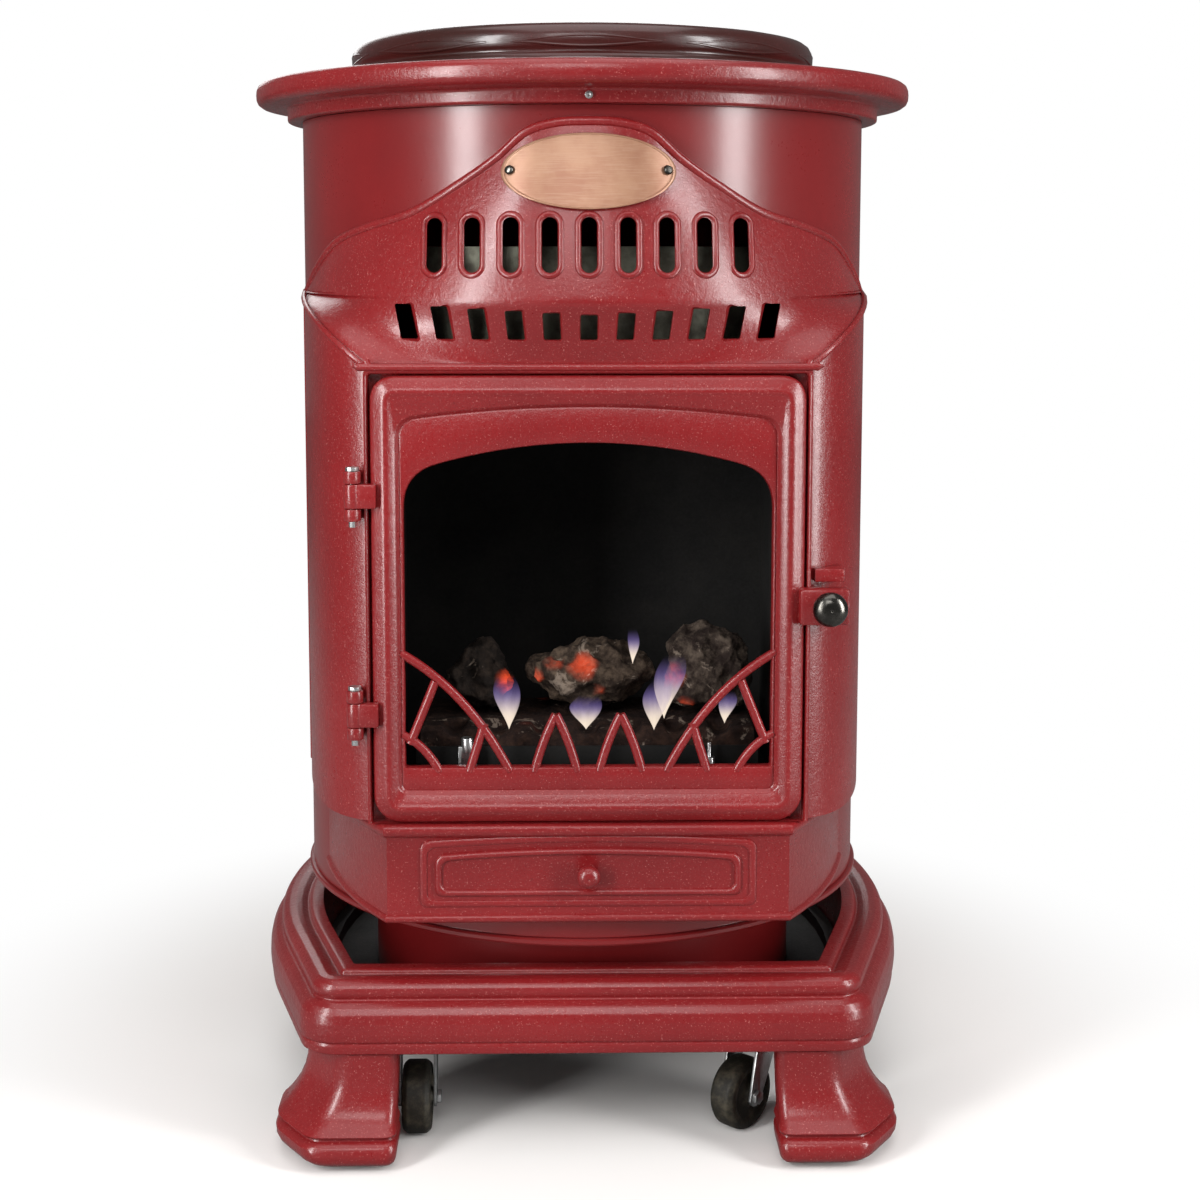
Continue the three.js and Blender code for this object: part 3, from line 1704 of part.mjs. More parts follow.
function buildFire() {
  place("firebox", firebox(), blackSteel);
  place("heat_baffle", heatBaffle(), greySteel);
  place("burner_tube", burnerTube(), greySteel);
  place("burner_tray", burnerTray(), blackSteel);
  place("ceramic_bed", ceramicBed(), ceramic);
  const seat = bedTop + gap;
  const lumps = [
    ["coal_centre", coal(coalCentre, coalDepth, 56, 0.4), 1, coalY],
    ["coal_right", coal(coalRight, coalDepth - 4, coalRight, 2.1), 84, coalY],
    ["coal_left", coal(coalLeft, coalDepth - 6, coalLeft, 4.2), -74, coalY + 2],
  ];
  for (const [name, body, x, y] of lumps) {
    const mesh = place(name, body, ceramic);
    mesh.position.set(x, y, seat);
  }
  place("pilot_bracket", pilotBracket(), zinc);
  place("spark_electrode", sparkElectrode(), zinc);
  place("gas_pipe", gasPipe(), brass);
  place("gas_hose", gasHose(), hoseRubber);
  place("regulator", regulator(), greySteel);
}

heater.name = "gas_cabinet_heater";
buildBase();
buildCasters();
buildDrum();
buildTop();
buildFront();
buildFire();

export default heater;
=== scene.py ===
import json
import math

import bmesh
import bpy
from mathutils import Matrix, Vector


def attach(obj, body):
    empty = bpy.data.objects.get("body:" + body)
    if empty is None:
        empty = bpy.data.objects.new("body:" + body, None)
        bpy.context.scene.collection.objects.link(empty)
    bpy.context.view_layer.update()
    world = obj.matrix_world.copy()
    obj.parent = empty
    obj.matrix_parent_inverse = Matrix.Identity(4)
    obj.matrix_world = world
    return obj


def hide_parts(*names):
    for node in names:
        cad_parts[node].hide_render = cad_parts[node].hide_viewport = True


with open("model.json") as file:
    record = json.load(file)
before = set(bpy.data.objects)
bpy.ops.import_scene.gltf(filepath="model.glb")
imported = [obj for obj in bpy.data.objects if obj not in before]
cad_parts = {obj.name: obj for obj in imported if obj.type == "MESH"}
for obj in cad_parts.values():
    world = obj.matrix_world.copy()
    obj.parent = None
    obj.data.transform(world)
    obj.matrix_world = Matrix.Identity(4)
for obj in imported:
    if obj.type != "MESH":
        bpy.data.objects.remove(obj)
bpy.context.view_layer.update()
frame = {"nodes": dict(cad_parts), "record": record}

mm = 0.001
record = frame["record"]
nodeBody = {n: body for body, names in record["behaviour"]["bodies"].items() for n in names}
corners = ["front_left", "front_right", "rear_left", "rear_right"]


# Selecting and finishing.

def alone(piece):
    if bpy.context.mode != "OBJECT":
        bpy.ops.object.mode_set(mode="OBJECT")
    bpy.ops.object.select_all(action="DESELECT")
    piece.select_set(True)
    bpy.context.view_layer.objects.active = piece
    return piece


def editAll(piece):
    alone(piece)
    bpy.ops.object.mode_set(mode="EDIT")
    bpy.ops.mesh.select_all(action="SELECT")


def leaveEdit():
    bpy.ops.object.mode_set(mode="OBJECT")


def fresh(name):
    piece = bpy.context.object
    piece.name = name
    return piece


def cleaned(piece, distance=0.004):
    editAll(piece)
    bpy.ops.mesh.remove_doubles(threshold=distance * mm)
    bpy.ops.mesh.delete_loose()
    bpy.ops.mesh.select_all(action="SELECT")
    bpy.ops.mesh.normals_make_consistent(inside=False)
    leaveEdit()
    return piece


def applied(piece, kind, **settings):
    alone(piece)
    modifier = piece.modifiers.new(kind.title(), kind)
    for key, value in settings.items():
        setattr(modifier, key, value)
    bpy.ops.object.modifier_apply(modifier=modifier.name)
    return piece


def softEdges(piece, width, segments=2, angle=30):
    return applied(piece, "BEVEL", width=width * mm, segments=segments,
                   limit_method="ANGLE", angle_limit=math.radians(angle))


def smoothed(piece, angle=35):
    alone(piece)
    bpy.ops.object.shade_smooth_by_angle(angle=math.radians(angle))
    return piece


def joinedTo(first, *others):
    if not others:
        return first
    alone(first)
    for other in others:
        other.select_set(True)
    bpy.ops.object.join()
    return first


def carved(piece, *cutters, operation="DIFFERENCE"):
    cutter = joinedTo(*cutters)
    applied(piece, "BOOLEAN", object=cutter, operation=operation, solver="MANIFOLD")
    bpy.data.objects.remove(cutter)
    return piece


def placed(piece):
    # the place goes into the mesh
    alone(piece)
    bpy.ops.object.transform_apply(location=True, rotation=True, scale=True)
    return piece


def fitted(piece, nodes, finish, angle=35):
    # rides on its node's body, stands for the nodes and takes a finish
    nodes = [nodes] if isinstance(nodes, str) else nodes
    smoothed(piece, angle)
    piece.data.materials.clear()
    piece.data.materials.append(finish)
    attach(piece, nodeBody[nodes[0]])
    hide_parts(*nodes)
    return piece


# Modelling.

def loopOf(name, points):
    if bpy.context.mode != "OBJECT":
        leaveEdit()
    bpy.ops.object.select_all(action="DESELECT")
    bpy.ops.mesh.primitive_circle_add(vertices=len(points), radius=0.1, location=(0, 0, 0))
    piece = fresh(name)
    for vertex, point in zip(piece.data.vertices, points):
        vertex.co = Vector(point) * mm
    return piece


def turned(name, profile, steps=128, at=(0, 0, 0)):
    # a closed profile of [radius, z], spun about Z
    piece = loopOf(name, [(r, 0, z) for r, z in profile])
    editAll(piece)
    bpy.ops.mesh.spin(steps=steps, angle=2 * math.pi, center=(0, 0, 0), axis=(0, 0, 1))
    leaveEdit()
    cleaned(piece)
    piece.location = Vector(at) * mm
    return placed(piece)


def lofted(name, rings, caps=True, joined=False):
    # rings of the same count of points, each extruded from the last
    piece = loopOf(name, rings[0])
    count = len(rings[0])
    editAll(piece)
    bpy.ops.mesh.select_mode(type="EDGE")
    bpy.ops.mesh.select_all(action="SELECT")
    follow = [*rings[1:], rings[0]] if joined else rings[1:]
    for ring in follow:
        bpy.ops.mesh.extrude_edges_move()
        form = bmesh.from_edit_mesh(piece.data)
        form.verts.ensure_lookup_table()
        for vertex, point in zip(form.verts[-count:], ring):
            vertex.co = Vector(point) * mm
        bmesh.update_edit_mesh(piece.data)
    if caps and not joined:
        bpy.ops.mesh.edge_face_add()
        bpy.ops.mesh.select_all(action="DESELECT")
        form = bmesh.from_edit_mesh(piece.data)
        form.verts.ensure_lookup_table()
        for vertex in form.verts[:count]:
            vertex.select = True
        form.select_flush(True)
        for edge in form.edges:
            edge.select = edge.verts[0].select and edge.verts[1].select
        bpy.ops.mesh.edge_face_add()
    bpy.ops.mesh.select_mode(type="VERT")
    leaveEdit()
    return cleaned(piece)


def gridOn(name, columns, rows, place):
    if bpy.context.mode != "OBJECT":
        leaveEdit()
    bpy.ops.object.select_all(action="DESELECT")
    bpy.ops.mesh.primitive_grid_add(x_subdivisions=columns, y_subdivisions=rows, size=2,
                                    location=(0, 0, 0))
    piece = fresh(name)
    for vertex in piece.data.vertices:
        u, v = (vertex.co.x + 1) / 2, (vertex.co.y + 1) / 2
        vertex.co = Vector(place(u, v)) * mm
    return piece


def blockOf(name, x0, x1, y0, y1, z0, z1, soft=0.6):
    bpy.ops.object.select_all(action="DESELECT")
    middle = (Vector((x0 + x1, y0 + y1, z0 + z1)) / 2) * mm
    bpy.ops.mesh.primitive_cube_add(size=1, location=middle)
    piece = fresh(name)
    piece.scale = Vector((x1 - x0, y1 - y0, z1 - z0)) * mm
    placed(piece)
    return softEdges(piece, soft) if soft else piece


def postOf(name, x, y, z0, z1, radius, sides=32, soft=0.5, turn=(0, 0, 0)):
    # a round bar that stands on z0, then turned about its foot
    bpy.ops.object.select_all(action="DESELECT")
    bpy.ops.mesh.primitive_cylinder_add(vertices=sides, radius=radius * mm,
                                        depth=(z1 - z0) * mm, location=(0, 0, (z1 - z0) / 2 * mm))
    piece = placed(fresh(name))
    if soft:
        softEdges(piece, soft)
    piece.rotation_euler = turn
    piece.location = Vector((x, y, z0)) * mm
    return placed(piece)


def spline(points, steps):
    # a smooth run through the points, with steps between each two
    points = [Vector(p) for p in points]
    ends = [2 * points[0] - points[1], *points, 2 * points[-1] - points[-2]]
    run = []
    for a, b, c, d in zip(ends, ends[1:], ends[2:], ends[3:]):
        for step in range(steps):
            t = step / steps
            run.append(0.5 * (2 * b + (c - a) * t + (2 * a - 5 * b + 4 * c - d) * t * t
                              + (3 * b - a - 3 * c + d) * t ** 3))
    return [*run, points[-1]]


def tubeAlong(name, points, radius, detail=3, closed=False):
    curve = bpy.data.curves.new(name, "CURVE")
    curve.dimensions = "3D"
    curve.bevel_depth = radius * mm
    curve.bevel_resolution = detail
    curve.use_fill_caps = not closed
    run = curve.splines.new("POLY")
    run.use_cyclic_u = closed
    run.points.add(len(points) - 1)
    for place, point in zip(run.points, points):
        place.co = (*(Vector(point) * mm), 1)
    piece = bpy.data.objects.new(name, curve)
    bpy.context.scene.collection.objects.link(piece)
    alone(piece)
    bpy.ops.object.convert(target="MESH")
    return cleaned(bpy.context.object)


def softened(profile, radius, steps=4, closed=True):
    # rounds each corner of a run of 2D points
    count = len(profile)
    out = []
    for index, corner in enumerate(profile):
        here = Vector(corner)
        if not closed and index in (0, count - 1):
            out.append(here)
            continue
        before, after = Vector(profile[index - 1]), Vector(profile[(index + 1) % count])
        room = min(radius, 0.45 * (before - here).length, 0.45 * (after - here).length)
        start = here + (before - here).normalized() * room
        end = here + (after - here).normalized() * room
        for step in range(steps + 1):
            t = step / steps
            out.append(start * (1 - t) ** 2 + here * 2 * t * (1 - t) + end * t * t)
    return out


def copyOfNode(node, name=None, soft=0.4, angle=32):
    # the CAD mesh, merged, with flat faces made whole and soft edges
    source = frame["nodes"][node]
    piece = bpy.data.objects.new(name or node + "_dressed", source.data.copy())
    bpy.context.scene.collection.objects.link(piece)
    alone(piece)
    if piece.data.has_custom_normals:
        bpy.ops.mesh.customdata_custom_splitnormals_clear()
    editAll(piece)
    bpy.ops.mesh.remove_doubles(threshold=0.002 * mm)
    bpy.ops.mesh.dissolve_limited(angle_limit=math.radians(1))
    leaveEdit()
    return softEdges(piece, soft, angle=angle) if soft else piece


# Shading.

class Signal:
    # a socket that sums can be written with
    def __init__(self, finish, socket):
        self.finish = finish
        self.socket = socket

    def maths(self, operation, *terms, clamp=False):
        made = self.finish.node("ShaderNodeMath", {"operation": operation, "use_clamp": clamp},
                                dict(enumerate(terms)))
        return Signal(self.finish, made.outputs[0])

    def __add__(self, other):
        return self.maths("ADD", self, other)

    def __radd__(self, other):
        return self.maths("ADD", other, self)

    def __sub__(self, other):
        return self.maths("SUBTRACT", self, other)

    def __rsub__(self, other):
        return self.maths("SUBTRACT", other, self)

    def __mul__(self, other):
        return self.maths("MULTIPLY", self, other)

    def __rmul__(self, other):
        return self.maths("MULTIPLY", other, self)

    def __truediv__(self, other):
        return self.maths("DIVIDE", self, other)

    def larger(self, other):
        return self.maths("MAXIMUM", self, other)

    def smaller(self, other):
        return self.maths("MINIMUM", self, other)

    def between(self, low, high):
        # 0 at low, 1 at high, held outside
        made = self.finish.node("ShaderNodeMapRange", {"interpolation_type": "SMOOTHSTEP"},
                                {"Value": self, "From Min": low, "From Max": high})
        return Signal(self.finish, made.outputs[0])


class Finish:
    def __init__(self, name, constants=None):
        self.material = bpy.data.materials.new(name)
        self.material.use_nodes = True
        self.tree = self.material.node_tree
        self.tree.nodes.clear()
        self.output = self.node("ShaderNodeOutputMaterial")
        self.shader = self.node("ShaderNodeBsdfPrincipled", {}, constants or {})
        self.tree.links.new(self.shader.outputs[0], self.output.inputs[0])
        where = self.node("ShaderNodeTexCoord")
        self.place = Signal(self, where.outputs["Object"])

    def node(self, kind, settings=None, inputs=None):
        made = self.tree.nodes.new(kind)
        for key, value in (settings or {}).items():
            if key == "stops":
                ramp = made.color_ramp
                while len(ramp.elements) < len(value):
                    ramp.elements.new(0.5)
                for element, (position, colour) in zip(ramp.elements, value):
                    element.position = position
                    element.color = (*colour, 1)
            else:
                setattr(made, key, value)
        for key, value in (inputs or {}).items():
            self.feed(made.inputs[key], value)
        return made

    def feed(self, socket, value):
        if isinstance(value, Signal):
            self.tree.links.new(value.socket, socket)
        else:
            socket.default_value = value

    def set(self, values):
        for key, value in values.items():
            self.feed(self.shader.inputs[key], value)
        return self

    def stretched(self, x, y, z, turn=(0, 0, 0), centre=(0, 0, 0)):
        made = self.node("ShaderNodeMapping", {}, {"Vector": self.place, "Scale": (x, y, z),
                                                   "Rotation": turn, "Location": centre})
        return Signal(self, made.outputs[0])

    def noise(self, scale, detail=3.0, rough=0.55, place=None, twist=0.0):
        made = self.node("ShaderNodeTexNoise", {}, {
            "Vector": place or self.place, "Scale": scale, "Detail": detail,
            "Roughness": rough, "Distortion": twist})
        return Signal(self, made.outputs[0])

    def cells(self, scale, feature="F1"):
        made = self.node("ShaderNodeTexVoronoi", {"feature": feature},
                         {"Vector": self.place, "Scale": scale})
        return Signal(self, made.outputs[0])

    def axis(self, which):
        made = self.node("ShaderNodeSeparateXYZ", {}, {0: self.place})
        return Signal(self, made.outputs["XYZ".index(which)])

    def distanceTo(self, x, y, z):
        made = self.node("ShaderNodeVectorMath", {"operation": "DISTANCE"},
                         {0: self.place, 1: (x * mm, y * mm, z * mm)})
        return Signal(self, made.outputs["Value"])

    def mixed(self, share, a, b, blend="MIX"):
        a, b = [(*c, 1) if isinstance(c, tuple) and len(c) == 3 else c for c in (a, b)]
        made = self.node("ShaderNodeMix", {"data_type": "RGBA", "blend_type": blend},
                         {0: share, 6: a, 7: b})
        return Signal(self, made.outputs[2])

    def bumped(self, height, strength, depth):
        made = self.node("ShaderNodeBump", {}, {"Strength": strength, "Distance": depth * mm,
                                                "Height": height})
        self.tree.links.new(made.outputs[0], self.shader.inputs["Normal"])
        return self


def castPaint(name, look):
    # sprayed enamel over a sand casting: fine grain, slow waves, pale flecks, a few rubbed spots
    finish = Finish(name, {"Coat Roughness": look["coatRoughness"], "Specular IOR Level": 0.4})
    grain = finish.noise(look["grain"], 2.5)
    sand = finish.noise(look["grain"] * 0.32, 3.0)
    waves = finish.noise(26, 2.0)
    patches = finish.noise(7, 4.0, 0.6)
    flecks = grain.between(0.6, 0.74)
    specks = finish.noise(330, 1.5).between(0.71, 0.78)
    colour = finish.mixed(patches.between(0.3, 0.7), look["colour"], look["deep"])
    colour = finish.mixed(flecks * look["fleckShare"], colour, look["fleck"])
    colour = finish.mixed(specks * 0.35, colour, look["speck"])
    rough = look["roughness"] + (patches - 0.5) * 0.12 + (sand - 0.5) * look["roughSpread"]
    finish.set({"Base Color": colour, "Roughness": rough, "Coat Weight": look["coat"]})
    finish.bumped(grain * look["grainHeight"] + sand * look["sandHeight"] + waves * 1.2,
                  look["strength"], 0.5)
    return finish.material


paintLooks = {
    "cast": {"colour": (0.215, 0.0105, 0.012), "deep": (0.17, 0.0075, 0.009),
             "fleck": (0.56, 0.2, 0.18), "speck": (0.09, 0.004, 0.006), "fleckShare": 0.5,
             "roughness": 0.33, "roughSpread": 0.3, "coat": 0.35, "coatRoughness": 0.18,
             "grain": 850, "grainHeight": 0.45, "sandHeight": 0.95, "strength": 0.72},
    "drum": {"colour": (0.18, 0.0085, 0.0095), "deep": (0.15, 0.007, 0.008),
             "fleck": (0.36, 0.07, 0.07), "speck": (0.12, 0.006, 0.008), "fleckShare": 0.22,
             "roughness": 0.3, "roughSpread": 0.08, "coat": 0.35, "coatRoughness": 0.2,
             "grain": 1300, "grainHeight": 0.12, "sandHeight": 0.1, "strength": 0.35},
    "lid": {"colour": (0.05, 0.007, 0.006), "deep": (0.028, 0.006, 0.004),
            "fleck": (0.2, 0.05, 0.06), "speck": (0.03, 0.003, 0.004), "fleckShare": 0.3,
            "roughness": 0.32, "roughSpread": 0.16, "coat": 0.4, "coatRoughness": 0.12,
            "grain": 800, "grainHeight": 0.25, "sandHeight": 0.3, "strength": 0.4},
}
castFinish = castPaint("castPaint", paintLooks["cast"])
drumFinish = castPaint("drumPaint", paintLooks["drum"])
lidFinish = castPaint("lidPaint", paintLooks["lid"])


def sootedSteel(name, colour, pale, roughness):
    # stove black with heat bloom and dust
    finish = Finish(name, {"Metallic": 0.0, "Specular IOR Level": 0.25})
    grain = finish.noise(520, 3.0)
    bloom = finish.noise(16, 4.0, 0.65)
    finish.set({"Base Color": finish.mixed(bloom.between(0.35, 0.75), colour, pale),
               "Roughness": roughness + (grain - 0.5) * 0.25})
    return finish.bumped(grain, 0.4, 0.3).material


def platedSteel(name, colour, dull, roughness, metallic=1.0):
    # drawn or plated metal: fine lines, dull blotches
    finish = Finish(name, {"Metallic": metallic})
    lines = finish.noise(1, 3.0, place=finish.stretched(300, 300, 3000))
    blotch = finish.noise(90, 4.0, 0.6).between(0.35, 0.72)
    finish.set({"Base Color": finish.mixed(blotch, colour, dull),
               "Roughness": roughness + blotch * 0.18 + (lines - 0.5) * 0.14})
    return finish.bumped(lines, 0.18, 0.15).material


# the firebox and burner tray are stove black, set far darker than black paint as painted shade for the
# dark inside of the firebox
fireboxBlackAndShade = sootedSteel("stoveBlackAndPaintedShade", (0.003, 0.0028, 0.0026), (0.008, 0.007, 0.006), 0.85)
deckSteel = sootedSteel("deckBlack", (0.02, 0.019, 0.018), (0.045, 0.042, 0.038), 0.6)
baffleSteel = platedSteel("baffleSteel", (0.12, 0.12, 0.09), (0.07, 0.06, 0.045), 0.55, 0.6)
zincFinish = platedSteel("zincPlate", (0.62, 0.63, 0.63), (0.4, 0.4, 0.39), 0.28)
brassFinish = platedSteel("satinBrass", (0.6, 0.4, 0.14), (0.4, 0.26, 0.1), 0.3)
pewterFinish = platedSteel("polishedPewter", (0.1, 0.095, 0.085), (0.045, 0.042, 0.038), 0.2)


def copperPlate():
    # a satin copper-coloured plate with soft brushing and a faint warm stain
    finish = Finish("badgeCopper", {"Metallic": 0.35, "Coat Roughness": 0.3})
    brush = finish.noise(1, 3.0, place=finish.stretched(60, 60, 1400))
    stain = finish.noise(38, 4.0, 0.6)
    colour = finish.mixed(stain.between(0.32, 0.7), (0.37, 0.2, 0.12), (0.29, 0.13, 0.075))
    brushed = finish.mixed(brush.between(0.45, 0.7) * 0.3, colour, (0.45, 0.29, 0.2))
    finish.set({"Base Color": brushed,
               "Roughness": 0.42 + (brush - 0.5) * 0.2, "Coat Weight": 0.15})
    return finish.bumped(brush, 0.2, 0.15).material


def rubberTread():
    # dull rubber, dusty where it rolls
    finish = Finish("wheelRubber", {"Specular IOR Level": 0.35})
    dust = finish.noise(120, 4.0, 0.65)
    grit = finish.noise(900, 2.0)
    finish.set({"Base Color": finish.mixed(dust.between(0.4, 0.75), (0.014, 0.012, 0.008),
                                       (0.06, 0.05, 0.033)),
               "Roughness": 0.6 + (grit - 0.5) * 0.3})
    return finish.bumped(grit + dust, 0.4, 0.3).material


def mouldedPlastic(name, colour, roughness):
    finish = Finish(name, {"Specular IOR Level": 0.4})
    grain = finish.noise(1100, 2.0)
    wear = finish.noise(60, 4.0).between(0.55, 0.8)
    pale = tuple(c + 0.03 for c in colour)
    finish.set({"Base Color": finish.mixed(wear, colour, pale),
                "Roughness": roughness + wear * 0.12})
    return finish.bumped(grain, 0.3, 0.15).material


def charredCeramic(name, colour, ash, spots):
    # rough fibre ceramic, dark with paler ridges, red where the flames reach it
    finish = Finish(name, {"Specular IOR Level": 0.15, "Emission Strength": 1.0})
    lumps = finish.noise(95, 6.0, 0.68)
    pits = finish.cells(260)
    veins = finish.noise(48, 5.0, 0.7, twist=1.2)
    colour = finish.mixed(lumps.between(0.4, 0.72), colour, ash)
    colour = finish.mixed(veins.between(0.6, 0.66) * 0.55, colour, (0.24, 0.19, 0.15))
    glow = None
    for x, y, z, reach in spots:
        near = 1 - finish.distanceTo(x, y, z).between(reach * 0.25 * mm, reach * mm)
        glow = near if glow is None else glow.larger(near)
    if glow is None:
        warm = finish.noise(20, 2.0).between(0.62, 0.8) * 0.12
    else:
        warm = (glow * (veins.between(0.3, 0.6) * 0.75 + 0.25)).larger(0.0)
    finish.set({"Base Color": colour, "Roughness": 0.9 + (lumps - 0.5) * 0.15,
               "Emission Color": finish.mixed(warm, (0.0, 0.0, 0.0), (0.85, 0.075, 0.02))})
    return finish.bumped(lumps * 1.4 + pits * 0.5, 0.9, 1.4).material


copperFinish = copperPlate()
rubberFinish = rubberTread()
plasticFinish = mouldedPlastic("blackPlastic", (0.012, 0.012, 0.012), 0.45)
hoseFinish = mouldedPlastic("hoseRubber", (0.028, 0.028, 0.024), 0.6)
bedFinish = charredCeramic("fibreBed", (0.01, 0.005, 0.004), (0.03, 0.015, 0.01), [])
print("finishes ready")


# The base: the plinth ring, its feet and the pan below.

plinth = {"bottom": 76, "height": 50, "depth": 213, "frontHalf": 191, "sideHalf": 258,
          "corner": 30, "sideRadius": 358, "band": 40, "cornerSteps": 14, "sideSteps": 22}


def plinthOutline(offset, z):
    slope = (plinth["sideHalf"] - plinth["frontHalf"]) / plinth["depth"]
    turn = math.atan(slope)
    depth = plinth["depth"] - offset
    sideAtAxis = plinth["sideHalf"] - offset / math.cos(turn)
    corner = max(plinth["corner"] - offset, 3)
    cornerTurn = math.pi / 2 - turn
    cornerX = sideAtAxis - slope * depth - corner * math.tan(cornerTurn / 2)
    quarter = []
    for step in range(plinth["cornerSteps"] + 1):
        angle = -math.pi / 2 + cornerTurn * step / plinth["cornerSteps"]
        quarter.append((cornerX + corner * math.cos(angle),
                        -depth + corner * (1 + math.sin(angle))))
    sideRadius = plinth["sideRadius"] - offset
    centreX = sideAtAxis - sideRadius / math.cos(turn)
    for step in range(plinth["sideSteps"]):
        angle = -turn * (1 - step / plinth["sideSteps"])
        quarter.append((centreX + sideRadius * math.cos(angle), sideRadius * math.sin(angle)))
    side = [*quarter, (centreX + sideRadius, 0), *[(x, -y) for x, y in reversed(quarter)]]
    return [(x, y, z) for x, y in [*side, *[(-x, y) for x, y in reversed(side)]]]


def makePlinth():
    low, top = plinth["bottom"], plinth["bottom"] + plinth["height"]
    profile = softened([
        (4, low), (1.4, low + 1.2), (1.0, low + 6.8), (1.9, low + 8.4), (0.4, low + 10),
        (0, low + 15), (0.3, low + 22), (1.6, low + 28), (4.4, low + 32.6), (8.0, low + 35.0),
        (9.8, low + 35.5), (10.4, low + 36.6), (9.6, low + 38.0), (8.9, low + 40.6),
        (9.2, low + 43.8), (11.2, low + 46.8), (14.6, low + 48.7), (19.5, low + 49.3),
        (24, low + 48.4), (27.0, low + 46.7), (28.4, low + 45.8), (29.6, low + 46.5),
        (30.2, low + 48.6), (31.6, low + 49.6), (34, top)], 0.7, 2, closed=False)
    profile = [*profile, (plinth["band"], top), (plinth["band"], low + 4),
               (plinth["band"] + 7, low + 4), (plinth["band"] + 7, low)]
    piece = lofted("plinth_casting", [plinthOutline(o, z) for o, z in profile], joined=True)
    return fitted(piece, "base_plinth", castFinish, 40)


footLook = {"inner": 130, "outer": 195, "front": 209, "back": 150, "flare": 21, "toe": 20,
            "chamfer": 26, "run": 37, "round": 9, "sweep": 44}
footSections = [  # height, inset, share of the flare, share of the toe
    (4.0, 5.0, 0.3, 0.62), (4.6, 2.6, 0.48, 0.78), (6.5, 0.9, 0.72, 0.92), (9.0, 0.0, 0.86, 1.0),
    (13.0, -0.6, 0.96, 1.02), (17.5, -0.9, 0.99, 0.98), (20.0, -0.4, 0.92, 0.86),
    (21.3, 0.6, 0.84, 0.72), (22.6, 0.7, 0.83, 0.7), (23.6, -0.2, 0.88, 0.8),
    (25.4, -0.8, 0.93, 0.86), (27.4, -0.4, 0.86, 0.76), (29.0, 0.4, 0.76, 0.62),
    (31.5, 0.7, 0.64, 0.48), (36.0, 0.4, 0.47, 0.3), (42.0, 0.0, 0.29, 0.15),
    (50.0, -0.4, 0.12, 0.04), (58.0, -0.8, 0.03, 0.0), (66.0, -1.2, 0.0, 0.0),
    (75.7, -1.5, 0.0, 0.0)]


def makeFeet():
    rings = []
    for z, inset, flare, toe in footSections:
        inner = footLook["inner"] + inset
        outer = footLook["outer"] + footLook["flare"] * flare
        front = -footLook["front"] - footLook["toe"] * toe
        outline = [(inner, front), (outer - footLook["chamfer"], front),
                   (outer, front + footLook["run"]), (outer, -footLook["back"]),
                   (inner, -footLook["back"])]
        rings.append([(x, y, z) for x, y in softened(outline, footLook["round"] - inset, 5)])
    foot = lofted("foot_casting_front_right", rings)
    sweep = postOf("sweep", 119, -148, 0, 90, footLook["sweep"], 64, soft=0)
    carved(foot, sweep)
    for end in corners:
        sign = Vector((-1 if "left" in end else 1, -1 if "rear" in end else 1, 1))
        piece = foot if end == "front_right" else foot.copy()
        piece.name = "foot_casting_" + end
        if piece is not foot:
            piece.data = foot.data.copy()
            bpy.context.scene.collection.objects.link(piece)
            piece.data.transform(Matrix.Diagonal((*sign, 1)))
            cleaned(piece)
    for end in corners:
        fitted(bpy.data.objects["foot_casting_" + end], "foot_" + end, castFinish, 38)


makePlinth()
makeFeet()
fitted(copyOfNode("deck_pan"), "deck_pan", deckSteel)
print("base ready")


# The casters. Each swivel is at its own heading in the CAD, so its pieces are copies of the nodes.

caster = {"radius": 25, "half": 10, "hub": 6, "bore": 3.4, "axleZ": 25, "trail": 14,
          "x": 119, "y": 148,
          "headings": {"front_left": 0, "front_right": -43, "rear_left": 200, "rear_right": 165}}


def makeWheel():
    r, h, hub = caster["radius"], caster["half"], caster["hub"]
    profile = softened([
        (caster["bore"], -h - 1.1), (hub, -h - 1.1), (hub + 0.8, -h + 0.4), (hub + 3, -h + 1.6),
        (r - 8.5, -h + 1.6), (r - 7, -h), (r - 3, -h), (r, -h + 3.4), (r, h - 3.4), (r - 3, h),
        (r - 7, h), (r - 8.5, h - 1.6), (hub + 3, h - 1.6), (hub + 0.8, h - 0.4), (hub, h + 1.1),
        (caster["bore"], h + 1.1)], 1.2, 3)
    return turned("wheel", profile, 72)


def makeCasters():
    wheel = makeWheel()
    for end in corners:
        piece = wheel.copy()
        piece.data = wheel.data.copy()
        piece.name = "caster_wheel_" + end + "_rubber"
        bpy.context.scene.collection.objects.link(piece)
        heading = math.radians(caster["headings"][end])
        x = caster["x"] * (-1 if "left" in end else 1) + caster["trail"] * math.sin(heading)
        y = caster["y"] * (-1 if "front" in end else 1) - caster["trail"] * math.cos(heading)
        turn = Matrix.Rotation(heading, 4, "Z") @ Matrix.Rotation(math.pi / 2, 4, "Y")
        piece.data.transform(Matrix.Translation(Vector((x, y, caster["axleZ"])) * mm) @ turn)
        fitted(piece, "caster_wheel_" + end, rubberFinish, 40)
        fitted(copyOfNode("caster_plate_" + end), "caster_plate_" + end, zincFinish)
        fitted(copyOfNode("caster_fork_" + end, soft=0.3), "caster_fork_" + end, zincFinish, 25)
        fitted(copyOfNode("caster_axle_" + end, soft=0.3), "caster_axle_" + end, zincFinish, 25)
    bpy.data.objects.remove(wheel)


makeCasters()
print("casters ready")


# The drum: floor, shell, rear door.

drum = {"radius": 208, "sheet": 1.5, "floorLow": 153.7, "floorHigh": 157.0, "seat": 156.4,
        "bead": 211, "skirt": 160, "skirtLow": 72.8, "shellLow": 156.7, "shellTop": 711.0, "steps": 192}


